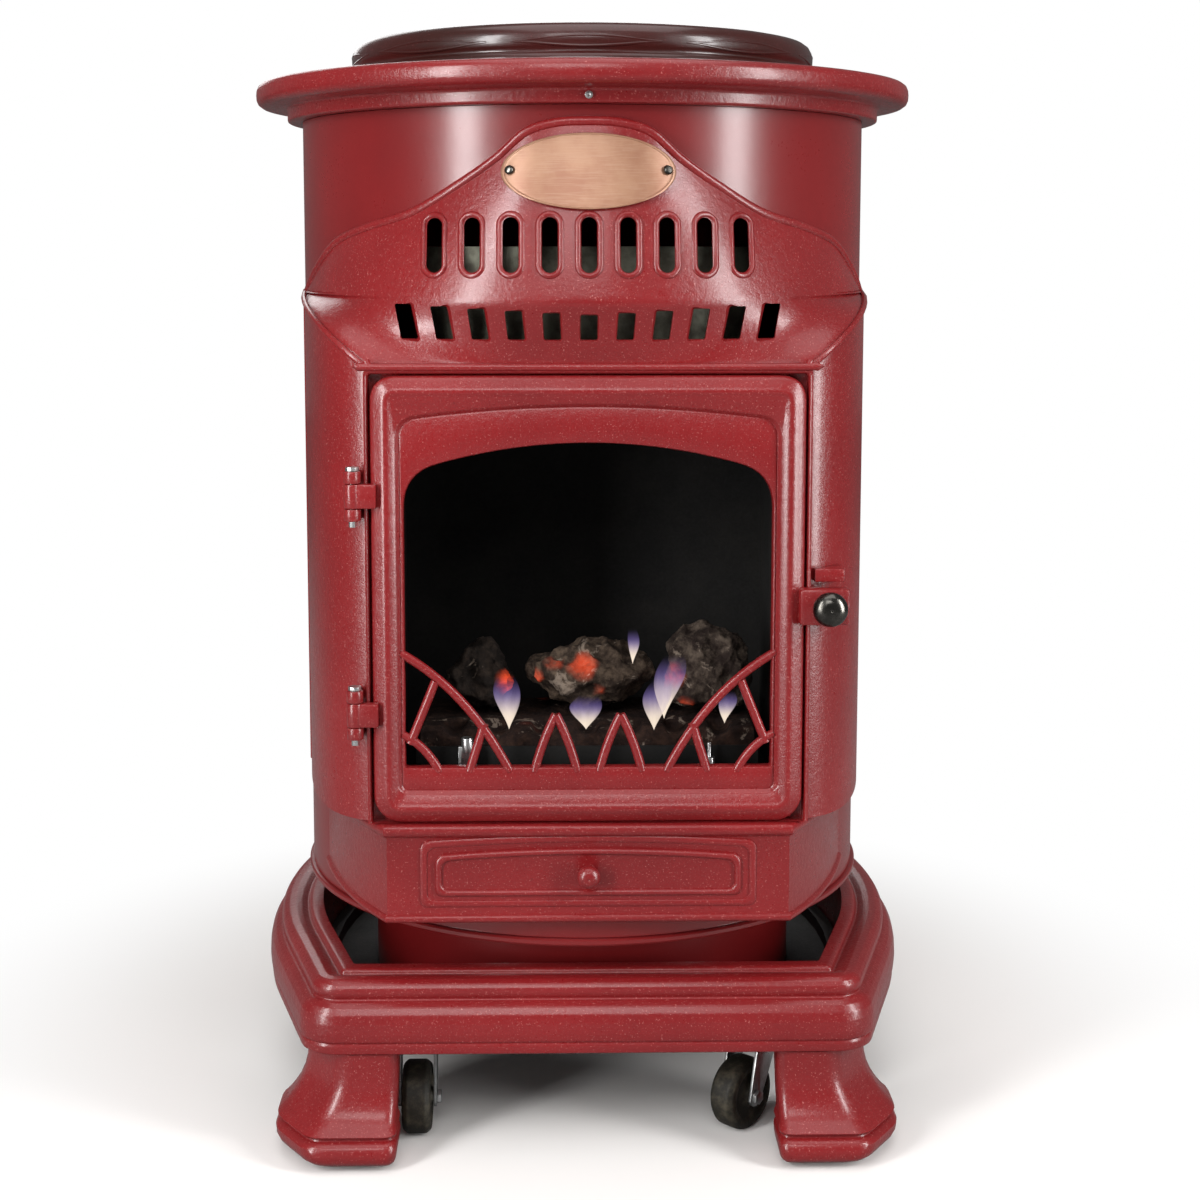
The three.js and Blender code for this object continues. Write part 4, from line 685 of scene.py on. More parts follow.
def makeDrumFloor():
    low, seat = drum["floorLow"], drum["seat"]
    skirt, sheet = drum["skirt"], drum["sheet"]
    bead = drum["bead"]
    profile = [
        (0, low), (skirt - sheet, low), (skirt - sheet, drum["skirtLow"]),
        (skirt, drum["skirtLow"]),
        (skirt, low), (drum["radius"] - 4, low), (drum["radius"] - 2.4, low - 1.4),
        (drum["radius"] - 0.6, low - 2.4), (bead - 1, low - 2.1), (bead, low - 0.8),
        (bead, seat - 1.2), (bead - 0.9, seat - 0.2), (bead - 1.9, seat), (205.3, seat),
        (205.3, drum["floorHigh"]), (0, drum["floorHigh"])]
    piece = turned("drum_floor", profile, drum["steps"])
    return fitted(piece, "drum_base", drumFinish, 30)


def makeShell():
    inner = drum["radius"] - drum["sheet"]
    low, high = drum["shellLow"], drum["shellTop"]
    profile = [(inner, low), (drum["radius"], low), (drum["radius"], high), (inner, high)]
    shell = turned("drum_wall", profile, drum["steps"])
    opening = [(0, 0)]
    for step in range(25):
        angle = math.radians(48 + 84 * step / 24)
        opening.append((250 * math.cos(angle), 250 * math.sin(angle)))
    rear = lofted("rearOpening", [[(x, y, z) for x, y in opening] for z in (176, 655)])
    front = blockOf("frontOpening", -140, 140, -240, 0, 232, 628, soft=0)
    head = blockOf("slotOpening", -112, 112, -240, 0, 600, 645, soft=0)
    carved(shell, rear)
    carved(shell, front)
    carved(shell, head)
    extras = copyOfNode("drum_shell", "drum_hardware", soft=0)
    keep = blockOf("keep", 0, 260, -60, 190, 160, 700, soft=0)
    wall = turned("wall", [(100, 100), (208.02, 100), (208.02, 760), (100, 760)], 40)
    carved(extras, keep, operation="INTERSECT")
    carved(extras, wall)
    hook = blockOf("hook", 191.3, 207, 12, 28, 606, 640, 0.8)
    softEdges(extras, 0.3, angle=40)
    joinedTo(shell, extras, hook)
    return fitted(shell, "drum_shell", drumFinish, 30)


makeDrumFloor()
makeShell()
fitted(copyOfNode("rear_door", soft=0.35, angle=40), "rear_door", drumFinish, 30)
fitted(copyOfNode("rear_hinge_pin", soft=0.3), "rear_hinge_pin", zincFinish, 40)
print("drum ready")


# The top: cast rim and collar, lid, controls.

def makeTopPlate():
    profile = [
        (151.6, 723.3), (194, 723.3), (199, 719), (204, 711.6), (206, 711.3), (217.6, 711.3),
        (218.7, 711.9), (219, 713.2), (219, 718.6), (219.5, 720.2), (221, 721.0), (234, 721.6),
        (237.6, 722.3), (240.2, 724.2), (241.3, 726.8), (241.5, 730), (241.2, 733.2),
        (240.1, 735.8), (238.0, 737.4), (235, 738.0), (178, 738.0), (160.6, 737.8),
        (159.9, 737.2), (159.9, 727.3), (151.6, 727.3)]
    piece = turned("top_casting", profile, drum["steps"])
    return fitted(piece, "top_plate", castFinish, 50)


lidRelief = {"count": 9, "span": 34, "radius": 170.4, "z": 755.6, "rise": 3.4, "thick": 1.15}


def lidArcs():
    # pairs of fine arcs that make long lens shapes along the lid's side
    arcs = []
    for index in range(lidRelief["count"]):
        for side in (-1, 1):
            run = []
            for step in range(25):
                share = step / 24
                angle = math.radians(-90 + 360 / lidRelief["count"] * index
                                     + lidRelief["span"] * (share - 0.5))
                lift = lidRelief["rise"] * math.sin(math.pi * share) ** 1.4
                run.append((lidRelief["radius"] * math.cos(angle),
                            lidRelief["radius"] * math.sin(angle), lidRelief["z"] + side * lift))
            arcs.append(tubeAlong("lidArc", run, lidRelief["thick"], 3))
    return arcs


def makeLid():
    profile = [
        (166, 738.3), (170.2, 738.3), (171.6, 739.1), (172, 740.8), (172, 744.6), (171.4, 746.6),
        (170.2, 747.8), (169.0, 749.0), (169.0, 750.2), (170.1, 751.6), (171.2, 754),
        (171.4, 757.5), (170.6, 761.5), (168.6, 765.2), (165.2, 767.6), (160.5, 768.6),
        (155, 768.5), (149, 767.5), (144, 766.9), (132, 766.7), (124, 766.7), (122.5, 767.6),
        (120.5, 767.9), (118.5, 767.6), (117, 766.7), (0, 766.7), (0, 760.7), (158, 760.7),
        (164, 757), (166, 752)]
    lid = turned("lid_casting", profile, drum["steps"])
    joinedTo(lid, *lidArcs())
    arm = blockOf("lid_arm", -22, 22, 167, 181, 741.3, 749.3, 1.2)
    eye = postOf("lid_eye", -22, 181, 745.3, 789.3, 6, 32, 0.6, (0, math.pi / 2, 0))
    knuckle = carved(joinedTo(arm, eye),
                     postOf("bore", -60, 181, 745.3, 865.3, 3.4, 24, 0, (0, math.pi / 2, 0)))
    joinedTo(lid, knuckle)
    return fitted(lid, "top_lid", lidFinish, 45)


def makeKnob():
    x, y, low = -45, -95, 736.3
    profile = softened([(0, low), (20, low), (20, low + 3), (16.5, low + 5.6), (15.2, low + 8),
                        (14.6, low + 17), (13, low + 20), (0, low + 20)], 1.2, 3)
    knob = turned("knob_body", profile, 96)
    grips = []
    for step in range(18):
        angle = 2 * math.pi * step / 18
        grips.append(postOf("grip", 16.1 * math.cos(angle), 16.1 * math.sin(angle),
                            low + 6.4, low + 22, 1.7, 16, 0))
    carved(knob, *grips)
    mark = blockOf("knob_mark", -0.9, 0.9, -13, -5, low + 19.2, low + 20.9, 0.3)
    joinedTo(knob, mark)
    knob.data.transform(Matrix.Translation(Vector((x, y, 0)) * mm))
    return fitted(knob, "control_knob", plasticFinish, 35)


makeTopPlate()
makeLid()
makeKnob()
for node, finish in [("lid_hinge_bracket", lidFinish), ("lid_hinge_pin", zincFinish),
                     ("control_panel", deckSteel), ("gas_valve", brassFinish),
                     ("valve_spindle", zincFinish), ("igniter_body", plasticFinish),
                     ("igniter_button", zincFinish), ("collar_screw", zincFinish)]:
    fitted(copyOfNode(node, soft=0.3), node, finish, 30)
print("top ready")


# The lower front panel.

ash = {"radius": 208, "depth": 219, "flat": 134, "angle": 64, "bottom": 172, "top": 239, "wall": 4}


def ashPath(proud, steps=20):
    flat = ash["flat"] + proud / 2
    depth = ash["depth"] + proud
    end = math.radians(ash["angle"])
    endX, endY = (ash["radius"] + proud) * math.sin(end), (ash["radius"] + proud) * math.cos(end)
    bowX, bowY = flat + (endX - flat) * 0.68, endY + (depth - endY) * 0.6
    side = []
    for step in range(steps + 1):
        t = step / steps
        side.append((flat * (1 - t) ** 2 + bowX * 2 * t * (1 - t) + endX * t * t,
                     -(depth * (1 - t) ** 2 + bowY * 2 * t * (1 - t) + endY * t * t)))
    return [*[(-x, y) for x, y in reversed(side)], *side]


def makeAshPanel():
    low, top = ash["bottom"], ash["top"]
    rows = [(low, 0.4), (low + 0.5, 1.6), (low + 2, 2.6), (low + 3.6, 2.6), (low + 4.9, 1.6),
            (low + 5.5, 0.2), (low + 7, 0), (top - 9.4, 0), (top - 8.6, 0.6), (top - 7.4, 2.2),
            (top - 5.8, 3.5), (top - 3.6, 4.0), (top - 1.4, 3.6), (top - 0.4, 2.6), (top, 1.2)]
    inner = list(reversed(ashPath(-ash["wall"])))
    rings = [[(x, y, z) for x, y in [*ashPath(proud), *inner]] for z, proud in rows]
    panel = lofted("ash_panel_body", rings)
    frames = []
    for half, lowZ, side, topZ, steps in [
        (112, 182.5, 226.5, 231.5, [(0, 218.5), (0.3, 219.6), (1.4, 220.3), (3.2, 220.3),
                                    (4.4, 219.7), (4.9, 218.4)]),
        (102, 190, 217, 222.5, [(0, 218.4), (0.2, 219.9), (1.0, 220.9), (2.2, 221.2), (3.4, 220.9),
                                (4.2, 219.9), (4.5, 218.4)])]:
        rings = [[(x, -depth, z) for x, z in archRing(half - inset, lowZ + inset, side - inset,
                                                      topZ - inset, 5, 5)]
                 for inset, depth in steps]
        frames.append(lofted("ash_frame", rings, caps=False))
    knob = turned("ash_knob", softened([
        (0, -2), (4.2, -2), (4.0, 1.5), (4.6, 3), (7.2, 4.8), (7.8, 7.4), (7.0, 10.6),
        (4.2, 12.9), (0, 13.5)], 1.4, 4), 48)
    knob.data.transform(Matrix.Translation(Vector((0, -219, 205)) * mm)
                        @ Matrix.Rotation(math.pi / 2, 4, "X"))
    joinedTo(panel, *frames, knob)
    return fitted(panel, "lower_front_panel", castFinish, 38)


def archRing(half, low, side, top, corner, foot, bottom=12, turn=8, run=26, arch=18):
    # an outline in X and Z with round corners and an arched head, the same points each time
    right = []
    for step in range(bottom):
        right.append(((half - foot) * step / bottom, low))
    for step in range(turn):
        angle = -math.pi / 2 + math.pi / 2 * step / turn
        right.append((half - foot + foot * math.cos(angle), low + foot + foot * math.sin(angle)))
    start, end = low + foot, side - corner
    for step in range(run):
        right.append((half, start + (end - start) * step / run))
    shoulder, lift = half - corner, side + (top - side) * 0.3
    for step in range(turn):
        t = step / turn
        right.append((half * (1 - t * t) + shoulder * t * t,
                      end * (1 - t) ** 2 + side * 2 * t * (1 - t) + lift * t * t))
    for step in range(arch):
        t = step / arch
        right.append((shoulder * (1 - t) ** 2 + shoulder / 2 * 2 * t * (1 - t),
                      lift * (1 - t) ** 2 + top * 2 * t * (1 - t) + top * t * t))
    return [*right, (0, top), *[(-x, z) for x, z in reversed(right[1:])]]


makeAshPanel()
print("lower panel ready")


# The front surround: columns, hood, crest.

front = {"radius": 208, "depth": 217, "sideX": 202.505, "sideY": 47.5, "low": 239.5,
         "hoodLow": 541.5, "ridge": 584, "endRise": 4, "hoodHalf": 144, "shift": 32, "proud": 4,
         "crestTop": 703, "wall": 3.6, "recessHalf": 143.5, "recessTop": 538,
         "bead": 3.4, "columns": 150, "lowRows": 14, "hoodRows": 14, "crestRows": 44}
hinge = {"x": -153.5, "y": -220, "heights": (314, 459), "lugHalf": 8, "gap": 0.3, "radius": 5.5}
latch = {"x": 157, "z": 385.5, "bore": 3.9, "knobY": -226.3, "knobRadius": 11.6}
upperSlots = {"count": 9, "pitch": 25, "z": 621, "wide": 5.4, "high": 17.9, "lipWide": 7.3,
              "lipHigh": 19.8, "lip": 2.2, "sunk": 0.9}
lowerSlots = {"count": 11, "pitch": 23.3, "low": 560.5, "high": 576.5, "grow": 1.3, "half": 5.5,
              "lean": 6}
crestDrops = [(0, 0), (20, -1), (40, -7), (60, -24), (84, -40), (115, -57.5), (147, -67),
              (171, -76.5), (188, -94), (198.5, -110), (202.505, -116)]
crestRun = spline([(x, 0, front["crestTop"] + drop) for x, drop in crestDrops], 12)


def drumDepth(x):
    return math.sqrt(max(front["radius"] ** 2 - x * x, 0))


def columnDepth(x, inset=0):
    share = min(abs(x) / (front["sideX"] - inset), 1)
    reach = front["depth"] - inset - front["sideY"]
    return front["sideY"] + reach * (1 - share ** 9) ** (1 / 1.4)


def ridgeDepth(x):
    return drumDepth(x * 1.005) + front["shift"] * (1 - 0.25 * (x / front["sideX"]) ** 4)


def crestHeight(x):
    place = abs(x)
    for a, b in zip(crestRun, crestRun[1:]):
        if b.x >= place:
            return a.z + (b.z - a.z) * (place - a.x) / max(b.x - a.x, 1e-6)
    return crestRun[-1].z


def ridgeHeight(x):
    return front["ridge"] + front["endRise"] * min(abs(x) / front["sideX"], 1) ** 2


def frontFace(x, z):
    column = columnDepth(x)
    if z <= front["hoodLow"]:
        return column
    ridge = ridgeHeight(x)
    if z <= ridge:
        rise = (z - front["hoodLow"]) / (ridge - front["hoodLow"])
        half = front["hoodHalf"] + (front["sideX"] - front["hoodHalf"]) * rise
        across = abs(x) / half
        if across >= 1:
            return column
        bead = front["depth"] - 2
        straight = bead + (ridgeDepth(across * front["sideX"]) - bead) * rise
        end = bead + (ridgeDepth(front["sideX"]) - bead) * rise
        return straight + across ** 6 * (columnDepth(half) - end)
    crest = max(crestHeight(x), ridge + 1)
    rise = min((z - ridge) / (crest - ridge), 1)
    lean = (1 - rise) * (1 + 0.25 * rise)
    low = drumDepth(x) + front["proud"]
    return low + (ridgeDepth(x) - low) * lean


def softFace(x, z):
    # the same face with its ridge rounded
    reach = 1.8
    return (frontFace(x, z - reach) + 2 * frontFace(x, z) + frontFace(x, z + reach)) / 4


def acrossFace(u):
    share = 2 * u - 1
    return front["sideX"] * math.copysign(1 - (1 - abs(share)) ** 1.45, share)


def faceRow(name, rows, place):
    return gridOn(name, front["columns"], rows, place)


def lowPlace(u, v):
    x, z = acrossFace(u), front["low"] + (front["hoodLow"] - front["low"]) * v
    return x, -columnDepth(x), z


def hoodPlace(u, v):
    x = acrossFace(u)
    z = front["hoodLow"] + (ridgeHeight(x) - front["hoodLow"]) * v
    return x, -softFace(x, z), z


def crestPlace(u, v):
    x = acrossFace(u)
    low, top = ridgeHeight(x), max(crestHeight(x), ridgeHeight(x) + 1)
    z = low + (top - low) * v
    return x, -softFace(x, min(z, top - 0.01)), z


def stadiumRing(x, z, halfWide, halfHigh, y):
    ring = []
    for step in range(24):
        angle = 2 * math.pi * (step + 0.5) / 24
        ring.append((x + halfWide * math.cos(angle), y,
                     z + math.copysign(halfHigh - halfWide, math.sin(angle))
                     + halfWide * math.sin(angle)))
    return ring


def slotCutters():
    # the upper slots are cut straight, and the lower ones flare where they meet the face
    cutters = []
    wide, high = upperSlots["wide"], upperSlots["high"]
    for slot in range(upperSlots["count"]):
        x, z = (slot - (upperSlots["count"] - 1) / 2) * upperSlots["pitch"], upperSlots["z"]
        face = -frontFace(x, z)
        slope = (frontFace(x, z + 1) - frontFace(x, z - 1)) / 2
        steps = [60, 4, -8]
        rings = []
        for back in steps:
            ring = stadiumRing(x, z, wide, high, face + back)
            lean = 0 if back > 50 else 1
            rings.append([(px, py - lean * slope * (pz - z), pz) for px, py, pz in ring])
        cutters.append(lofted("upperSlot", rings))
    for slot in range(lowerSlots["count"]):
        place = slot - (lowerSlots["count"] - 1) / 2
        x = place * lowerSlots["pitch"]
        lean = x / front["hoodHalf"] * lowerSlots["lean"]
        low, high = lowerSlots["low"], lowerSlots["high"] + lowerSlots["grow"] * abs(place)
        middle = (low + high) / 2
        face = -frontFace(x, middle)
        slope = (frontFace(x, middle + 2) - frontFace(x, middle - 2)) / 4
        steps = [(60, 0), (2.0, 0), (0.7, 0.3), (-0.3, 0.9), (-3, 2.2)]
        rings = []
        for back, grow in steps:
            half = lowerSlots["half"] + grow
            outline = softened([(x - half, low - grow), (x + half, low - grow),
                                (x + half + lean, high + grow),
                                (x - half + lean, high + grow)], 1.3 + grow, 3)
            tilt = 0 if back > 50 else 1
            rings.append([(px, face + back - tilt * slope * (pz - middle), pz)
                          for px, pz in outline])
        cutters.append(lofted("lowerSlot", rings))
    return cutters


def makeSlotLips():
    # a raised lip round each upper slot
    lips = []
    look = upperSlots
    for slot in range(look["count"]):
        x = (slot - (look["count"] - 1) / 2) * look["pitch"]
        ring = stadiumRing(x, look["z"], look["lipWide"], look["lipHigh"], 0)
        run = [(point[0], -frontFace(point[0], point[2]) + look["sunk"], point[2])
               for point in ring]
        lips.append(tubeAlong("slotLip", run, look["lip"], 4, closed=True))
    return lips


def makeRecess():
    # the tray that the door shuts into, down to its seat and the opening of the fire
    rings = []
    for grow, depth in [(2.6, 217.1), (1.4, 216.8), (0.5, 216.0), (0, 214.6), (0, 209.0),
                        (-0.4, 207.9), (-1.4, 207.5)]:
        rings.append([(x, -depth, z) for x, z in archRing(
            front["recessHalf"] + grow, front["low"], front["recessTop"] + grow,
            front["recessTop"] + grow, 3, 0.5)])
    for grow, depth in [(4, 207.5), (3.2, 207.1), (3, 206.4), (3, 203.5)]:
        rings.append([(x, -depth, z) for x, z in archRing(
            121 + grow, 272, 474 + grow, 493 + grow, 24, 0.5)])
    return lofted("recess", rings, caps=False)


def makeLugs():
    lugs = []
    near, far = hinge["lugHalf"] + hinge["gap"], 2 * hinge["lugHalf"] + hinge["gap"]
    for z in hinge["heights"]:
        for z0, z1 in ((z - far, z - near), (z + near, z + far)):
            lugs.append(postOf("lug", hinge["x"], hinge["y"], z0, z1, hinge["radius"], 32, 0.8))
            lugs.append(blockOf("lug_arm", -158, -150, -220, -203, z0, z1, 0.8))
    lugs.append(blockOf("keeper", 149, 169, -215, -195, 400.5, 409.5, 1.2))
    return lugs


def makeSurround():
    low = faceRow("surround_casting", front["lowRows"], lowPlace)
    hood = faceRow("hood", front["hoodRows"], hoodPlace)
    crest = faceRow("crest", front["crestRows"], crestPlace)
    shell = joinedTo(low, hood, crest)
    editAll(shell)
    bpy.ops.mesh.remove_doubles(threshold=0.01 * mm)
    bpy.ops.mesh.normals_make_consistent(inside=False)
    leaveEdit()
    if shell.data.polygons[0].normal.y > 0:
        editAll(shell)
        bpy.ops.mesh.flip_normals()
        leaveEdit()
    applied(shell, "SOLIDIFY", thickness=front["wall"] * mm, offset=-1)
    doorRoom = lofted("doorRoom", [[(x, y, z) for x, z in archRing(
        front["recessHalf"] + 1.2, 200, front["recessTop"] + 1.2, front["recessTop"] + 1.2, 3, 0.5)]
        for y in (-240, -150)])
    carved(shell, *slotCutters(), doorRoom)
    drumRoom = postOf("drumRoom", 0, 0, 200, 720, 208.3, 192, soft=0)
    mouth = blockOf("mouth", -139.7, 139.7, -260, 0, 150, 645, soft=0)
    carved(drumRoom, mouth)
    carved(shell, drumRoom)

    rise = front["bead"] - 0.6
    side = [p for p in crestRun if p.x < front["sideX"] - 2.5]
    crestLine = [(p.x, -drumDepth(p.x) - front["proud"], p.z - rise) for p in side]
    left = [(-x, y, z) for x, y, z in reversed(crestLine[1:])]
    beads = [tubeAlong("crestBead", [*left, *crestLine], front["bead"], 4)]
    beads.append(tubeAlong("hoodBead", spline([
        (-144, -214.6, 546), (-142.5, -216, 543.2), (-139, -216.4, 542.5), (0, -216.6, 542.5),
        (139, -216.4, 542.5), (142.5, -216, 543.2), (144, -214.6, 546)], 8), 2.6, 4))
    for sign in (-1, 1):
        x = sign * (front["sideX"] - 1)
        beads.append(tubeAlong("sideRib", [(x, -front["sideY"] - 3, z) for z in
                                           (239.6, 400, 560, 584, 590)], front["bead"], 4))
        diagonal = []
        for step in range(17):
            rise = step / 16
            place = sign * (front["hoodHalf"] + (front["sideX"] - front["hoodHalf"]) * rise)
            z = front["hoodLow"] + (ridgeHeight(place) - front["hoodLow"]) * rise
            diagonal.append((place, -columnDepth(place * 0.998) - 0.2, z))
        beads.append(tubeAlong("hoodEnd", diagonal, 2.0, 3))
    joinedTo(shell, makeRecess(), *beads, *makeSlotLips(), *makeLugs())
    return fitted(shell, "front_surround", castFinish, 32)


makeSurround()
print("surround ready")


# The badge, bare, with a raised edge.

badge = {"z": 668, "half": 56.5, "high": 24.5, "seat": 1.3, "sides": 96}


def badgePoint(reach, angle, lift):
    x = badge["half"] * reach * math.cos(angle)
    z = badge["z"] + badge["high"] * reach * math.sin(angle)
    return x, -frontFace(x, z) - badge["seat"] - lift, z


def makeBadge():
    steps = [(1.0, 0.0), (1.0, 1.2), (0.995, 1.7), (0.98, 2.0), (0.965, 1.95), (0.957, 1.5),
             (0.945, 1.35), (0.93, 1.4)]
    steps += [(0.93 * (1 - k / 14), 1.4) for k in range(1, 14)]
    rings = [[badgePoint(reach, 2 * math.pi * k / badge["sides"], lift)
              for k in range(badge["sides"])] for reach, lift in steps]
    piece = lofted("badge_oval", rings)
    return fitted(piece, "badge_plate", copperFinish, 40)


makeBadge()
for node in ("badge_rivet_left", "badge_rivet_right"):
    fitted(copyOfNode(node, soft=0.35), node, pewterFinish, 60)


# The door: a soft raised frame round a sunk panel, the window and its fretwork.

door = {"half": 142, "low": 240, "top": 537, "corner": 18, "back": 207.8, "face": 221.8}


def makeDoor():
    def outer(inset):
        return archRing(door["half"] - inset, door["low"] + inset, door["top"] - inset,
                        door["top"] - inset, max(door["corner"] - inset, 4),
                        max(door["corner"] - inset, 4))

    def panel(grow):
        soft = max(grow, 0)
        return archRing(124 + grow, 261 - grow, 506 + grow, 517 + grow, 9 + soft, 5 + soft)

    def window(grow):
        return archRing(121 + grow, 277 - grow, 474 + grow, 493 + grow, 24, 1.2)

    back, face = door["back"], door["face"]
    steps = [(outer, 2.0, back), (outer, 0.5, back + 0.3), (outer, 0, back + 1.6),
             (outer, 0, back + 7.4), (outer, 0.4, back + 8.9), (outer, 1.4, back + 9.9),
             (outer, 3.2, back + 10.9), (outer, 5.2, back + 12.0), (outer, 7.0, back + 13.0),
             (outer, 8.4, face - 0.35), (outer, 9.6, face), (outer, 10.8, face - 0.1),
             (outer, 12.2, face - 0.7), (outer, 13.8, face - 1.6), (panel, 2.4, face - 2.7),
             (panel, 1.2, face - 3.6), (panel, 0.3, face - 5.0), (panel, -0.6, face - 5.8),
             (panel, -1.6, face - 5.3), (window, 1.4, face - 5.2), (window, 0.5, face - 5.6),
             (window, 0, face - 6.6), (window, 0, back + 1.2), (window, 0.8, back + 0.1),
             (window, 2.0, back)]
    rings = [[(x, -depth, z) for x, z in shape(amount)] for shape, amount, depth in steps]
    leaf = lofted("door_casting", rings, joined=True)
    lugs = []
    reach = hinge["lugHalf"]
    for z in hinge["heights"]:
        lugs.append(postOf("doorLug", hinge["x"], hinge["y"], z - reach, z + reach,
                           hinge["radius"], 32, 0.9))
        lugs.append(blockOf("doorArm", hinge["x"], -138, -224.5, -217, z - reach, z + reach, 1.4))
    block = blockOf("latchBlock", 138, 171.2, -226, -213.8, 373.3, 397.7, 2.6)
    carved(block, postOf("latchBore", latch["x"], -190, latch["z"], latch["z"] + 60, latch["bore"],
                         24, 0, (math.pi / 2, 0, 0)))
    joinedTo(leaf, block, *lugs, *fretwork())
    return fitted(leaf, "front_door", castFinish, 36)


fret = {"foot": 275, "y": -214.3, "radius": 3.0, "flat": 0.95, "steps": 16}
fretBars = [  # start, bend and end of each bar of the right half: x, and height over the foot
    [(124, 79), (80, 54), (52, -1)], [(101, 60), (109, 40), (118, 18)],
    [(123, 24), (108, 17), (98.6, -1)], [(69, 31), (74, 15), (79, -1)],
    [(21.5, 37), (12.5, 20), (7.3, -1)], [(21.5, 37), (30.5, 20), (35.7, -1)]]


def fretwork():
    bars = []
    for side in (-1, 1):
        for points in fretBars:
            a, b, c = [Vector((side * x, fret["y"], fret["foot"] + z)) for x, z in points]
            run = [a * (1 - t) ** 2 + b * 2 * t * (1 - t) + c * t * t
                   for t in [k / fret["steps"] for k in range(fret["steps"] + 1)]]
            bar = tubeAlong("fretBar", run, fret["radius"], 4)
            centre = fret["y"] * mm
            bar.data.transform(Matrix.Translation((0, centre, 0))
                               @ Matrix.Diagonal((1, fret["flat"], 1, 1))
                               @ Matrix.Translation((0, -centre, 0)))
            bars.append(bar)
    return bars


makeDoor()
print("door ready")


def makeLatchKnob():
    r = latch["knobRadius"]
    profile = softened([(0, 0), (r * 0.62, 0), (r * 0.62, 1.6), (r * 0.8, 2.4), (r * 0.95, 4.2),
                        (r, 6.4), (r * 0.95, 9), (r * 0.8, 11.4), (r * 0.5, 13.4), (0, 14)], 1.6, 5)
    knob = turned("latch_ball", profile, 64)
    knob.data.transform(Matrix.Translation(Vector((latch["x"], latch["knobY"], latch["z"])) * mm)
                        @ Matrix.Rotation(math.pi / 2, 4, "X"))
    return fitted(knob, "latch_knob", pewterFinish, 60)


makeLatchKnob()
for node in ("door_hinge_pin_lower", "door_hinge_pin_upper", "latch_spindle"):
    fitted(copyOfNode(node, soft=0.3), node, zincFinish, 40)
print("latch ready")


# The fire: box, burner, ceramic coals, flames, glow.

for node, finish in [("firebox", fireboxBlackAndShade), ("heat_baffle", baffleSteel), ("burner_tube", baffleSteel),
                     ("burner_tray", fireboxBlackAndShade), ("pilot_bracket", zincFinish),
                     ("spark_electrode", zincFinish), ("gas_pipe", brassFinish)]:
    fitted(copyOfNode(node, soft=0.25), node, finish, 40)

coals = {  # rise over the bed, dark and ashy tone, glowing spots
    "coal_centre": {"lift": 8, "tones": ((0.016, 0.010, 0.007), (0.085, 0.06, 0.042)),
                    "spots": [(-24, -172, 346, 15), (-2, -174, 338, 15), (8, -175, 312, 13),
                                                  (-38, -166, 326, 10)]},
    "coal_right": {"lift": 7, "tones": ((0.016, 0.010, 0.008), (0.09, 0.068, 0.052)),
                   "spots": [(57, -166, 326, 15), (66, -168, 306, 10)]},
    "coal_left": {"lift": 5, "tones": ((0.006, 0.004, 0.003), (0.022, 0.015, 0.011)),
                  "spots": [(-52, -160, 322, 13)]},
}


def makeCoal(node, look):
    # the CAD lump, subdivided, then chipped and pitted by displacement
    piece = copyOfNode(node, node + "_lump", soft=0)
    applied(piece, "REMESH", mode="VOXEL", voxel_size=1.6 * mm)
    for kind, scale, depth in (("VORONOI", 17, 9.0), ("VORONOI", 8, 3.2), ("CLOUDS", 5, 2.4),
                               ("CLOUDS", 2.2, 0.9)):
        texture = bpy.data.textures.new(node + kind + str(scale), kind)
        texture.noise_scale = scale * mm
        applied(piece, "DISPLACE", texture=texture, texture_coords="LOCAL", strength=depth * mm,
                mid_level=0.62)
    alone(piece)
    piece.data.transform(Matrix.Translation((0, 0, look["lift"] * mm)))
    dark, ash = look["tones"]
    finish = charredCeramic(node + "Char", dark, ash, look["spots"])
    return fitted(piece, node, finish, 70)


for node, look in coals.items():
    makeCoal(node, look)


def makeBed():
    bed = copyOfNode("ceramic_bed", "fibre_bed", soft=0)
    applied(bed, "REMESH", mode="VOXEL", voxel_size=1.8 * mm)
    texture = bpy.data.textures.new("bedLumps", "CLOUDS")
    texture.noise_scale = 9 * mm
    applied(bed, "DISPLACE", texture=texture, texture_coords="LOCAL", strength=2.2 * mm,
            mid_level=0.75)
    return fitted(bed, "ceramic_bed", bedFinish, 70)


makeBed()

flames = [  # foot x, y, z, then height, width and lean
    (-53, -190, 296, 40, 18, -2.5), (-1, -191, 296, 25, 22, 1.5), (45, -190, 295, 38, 19, 6.5),
    (52, -187, 302, 48, 20, 9.0), (93, -188, 299, 24, 12, 4.0), (31, -178, 338, 26, 8, 0.5)]


def flameFinish(name, low, high):
    # cream at the pointed foot, then violet blue that thins out upwards
    finish = Finish(name, {"Roughness": 1.0, "Specular IOR Level": 0.0, "Emission Strength": 1.0,
                           "Base Color": (0, 0, 0, 1)})
    rise = (finish.axis("Z") - low * mm) / ((high - low) * mm)
    wisps = finish.noise(1, 3.0, place=finish.stretched(180, 180, 60))
    core = 1 - rise.between(0.18, 0.7)
    colour = finish.mixed(core, (0.26, 0.19, 0.52), (1.0, 0.84, 0.68))
    layer = finish.node("ShaderNodeLayerWeight", {}, {"Blend": 0.3})
    edge = Signal(finish, layer.outputs["Facing"])
    solid = (1 - rise.between(0.12, 0.92)) * (0.2 + 1.1 * wisps) * (1 - edge * 0.85)
    finish.set({"Emission Color": colour, "Alpha": solid.larger(0.0).smaller(0.92)})
    return finish.material


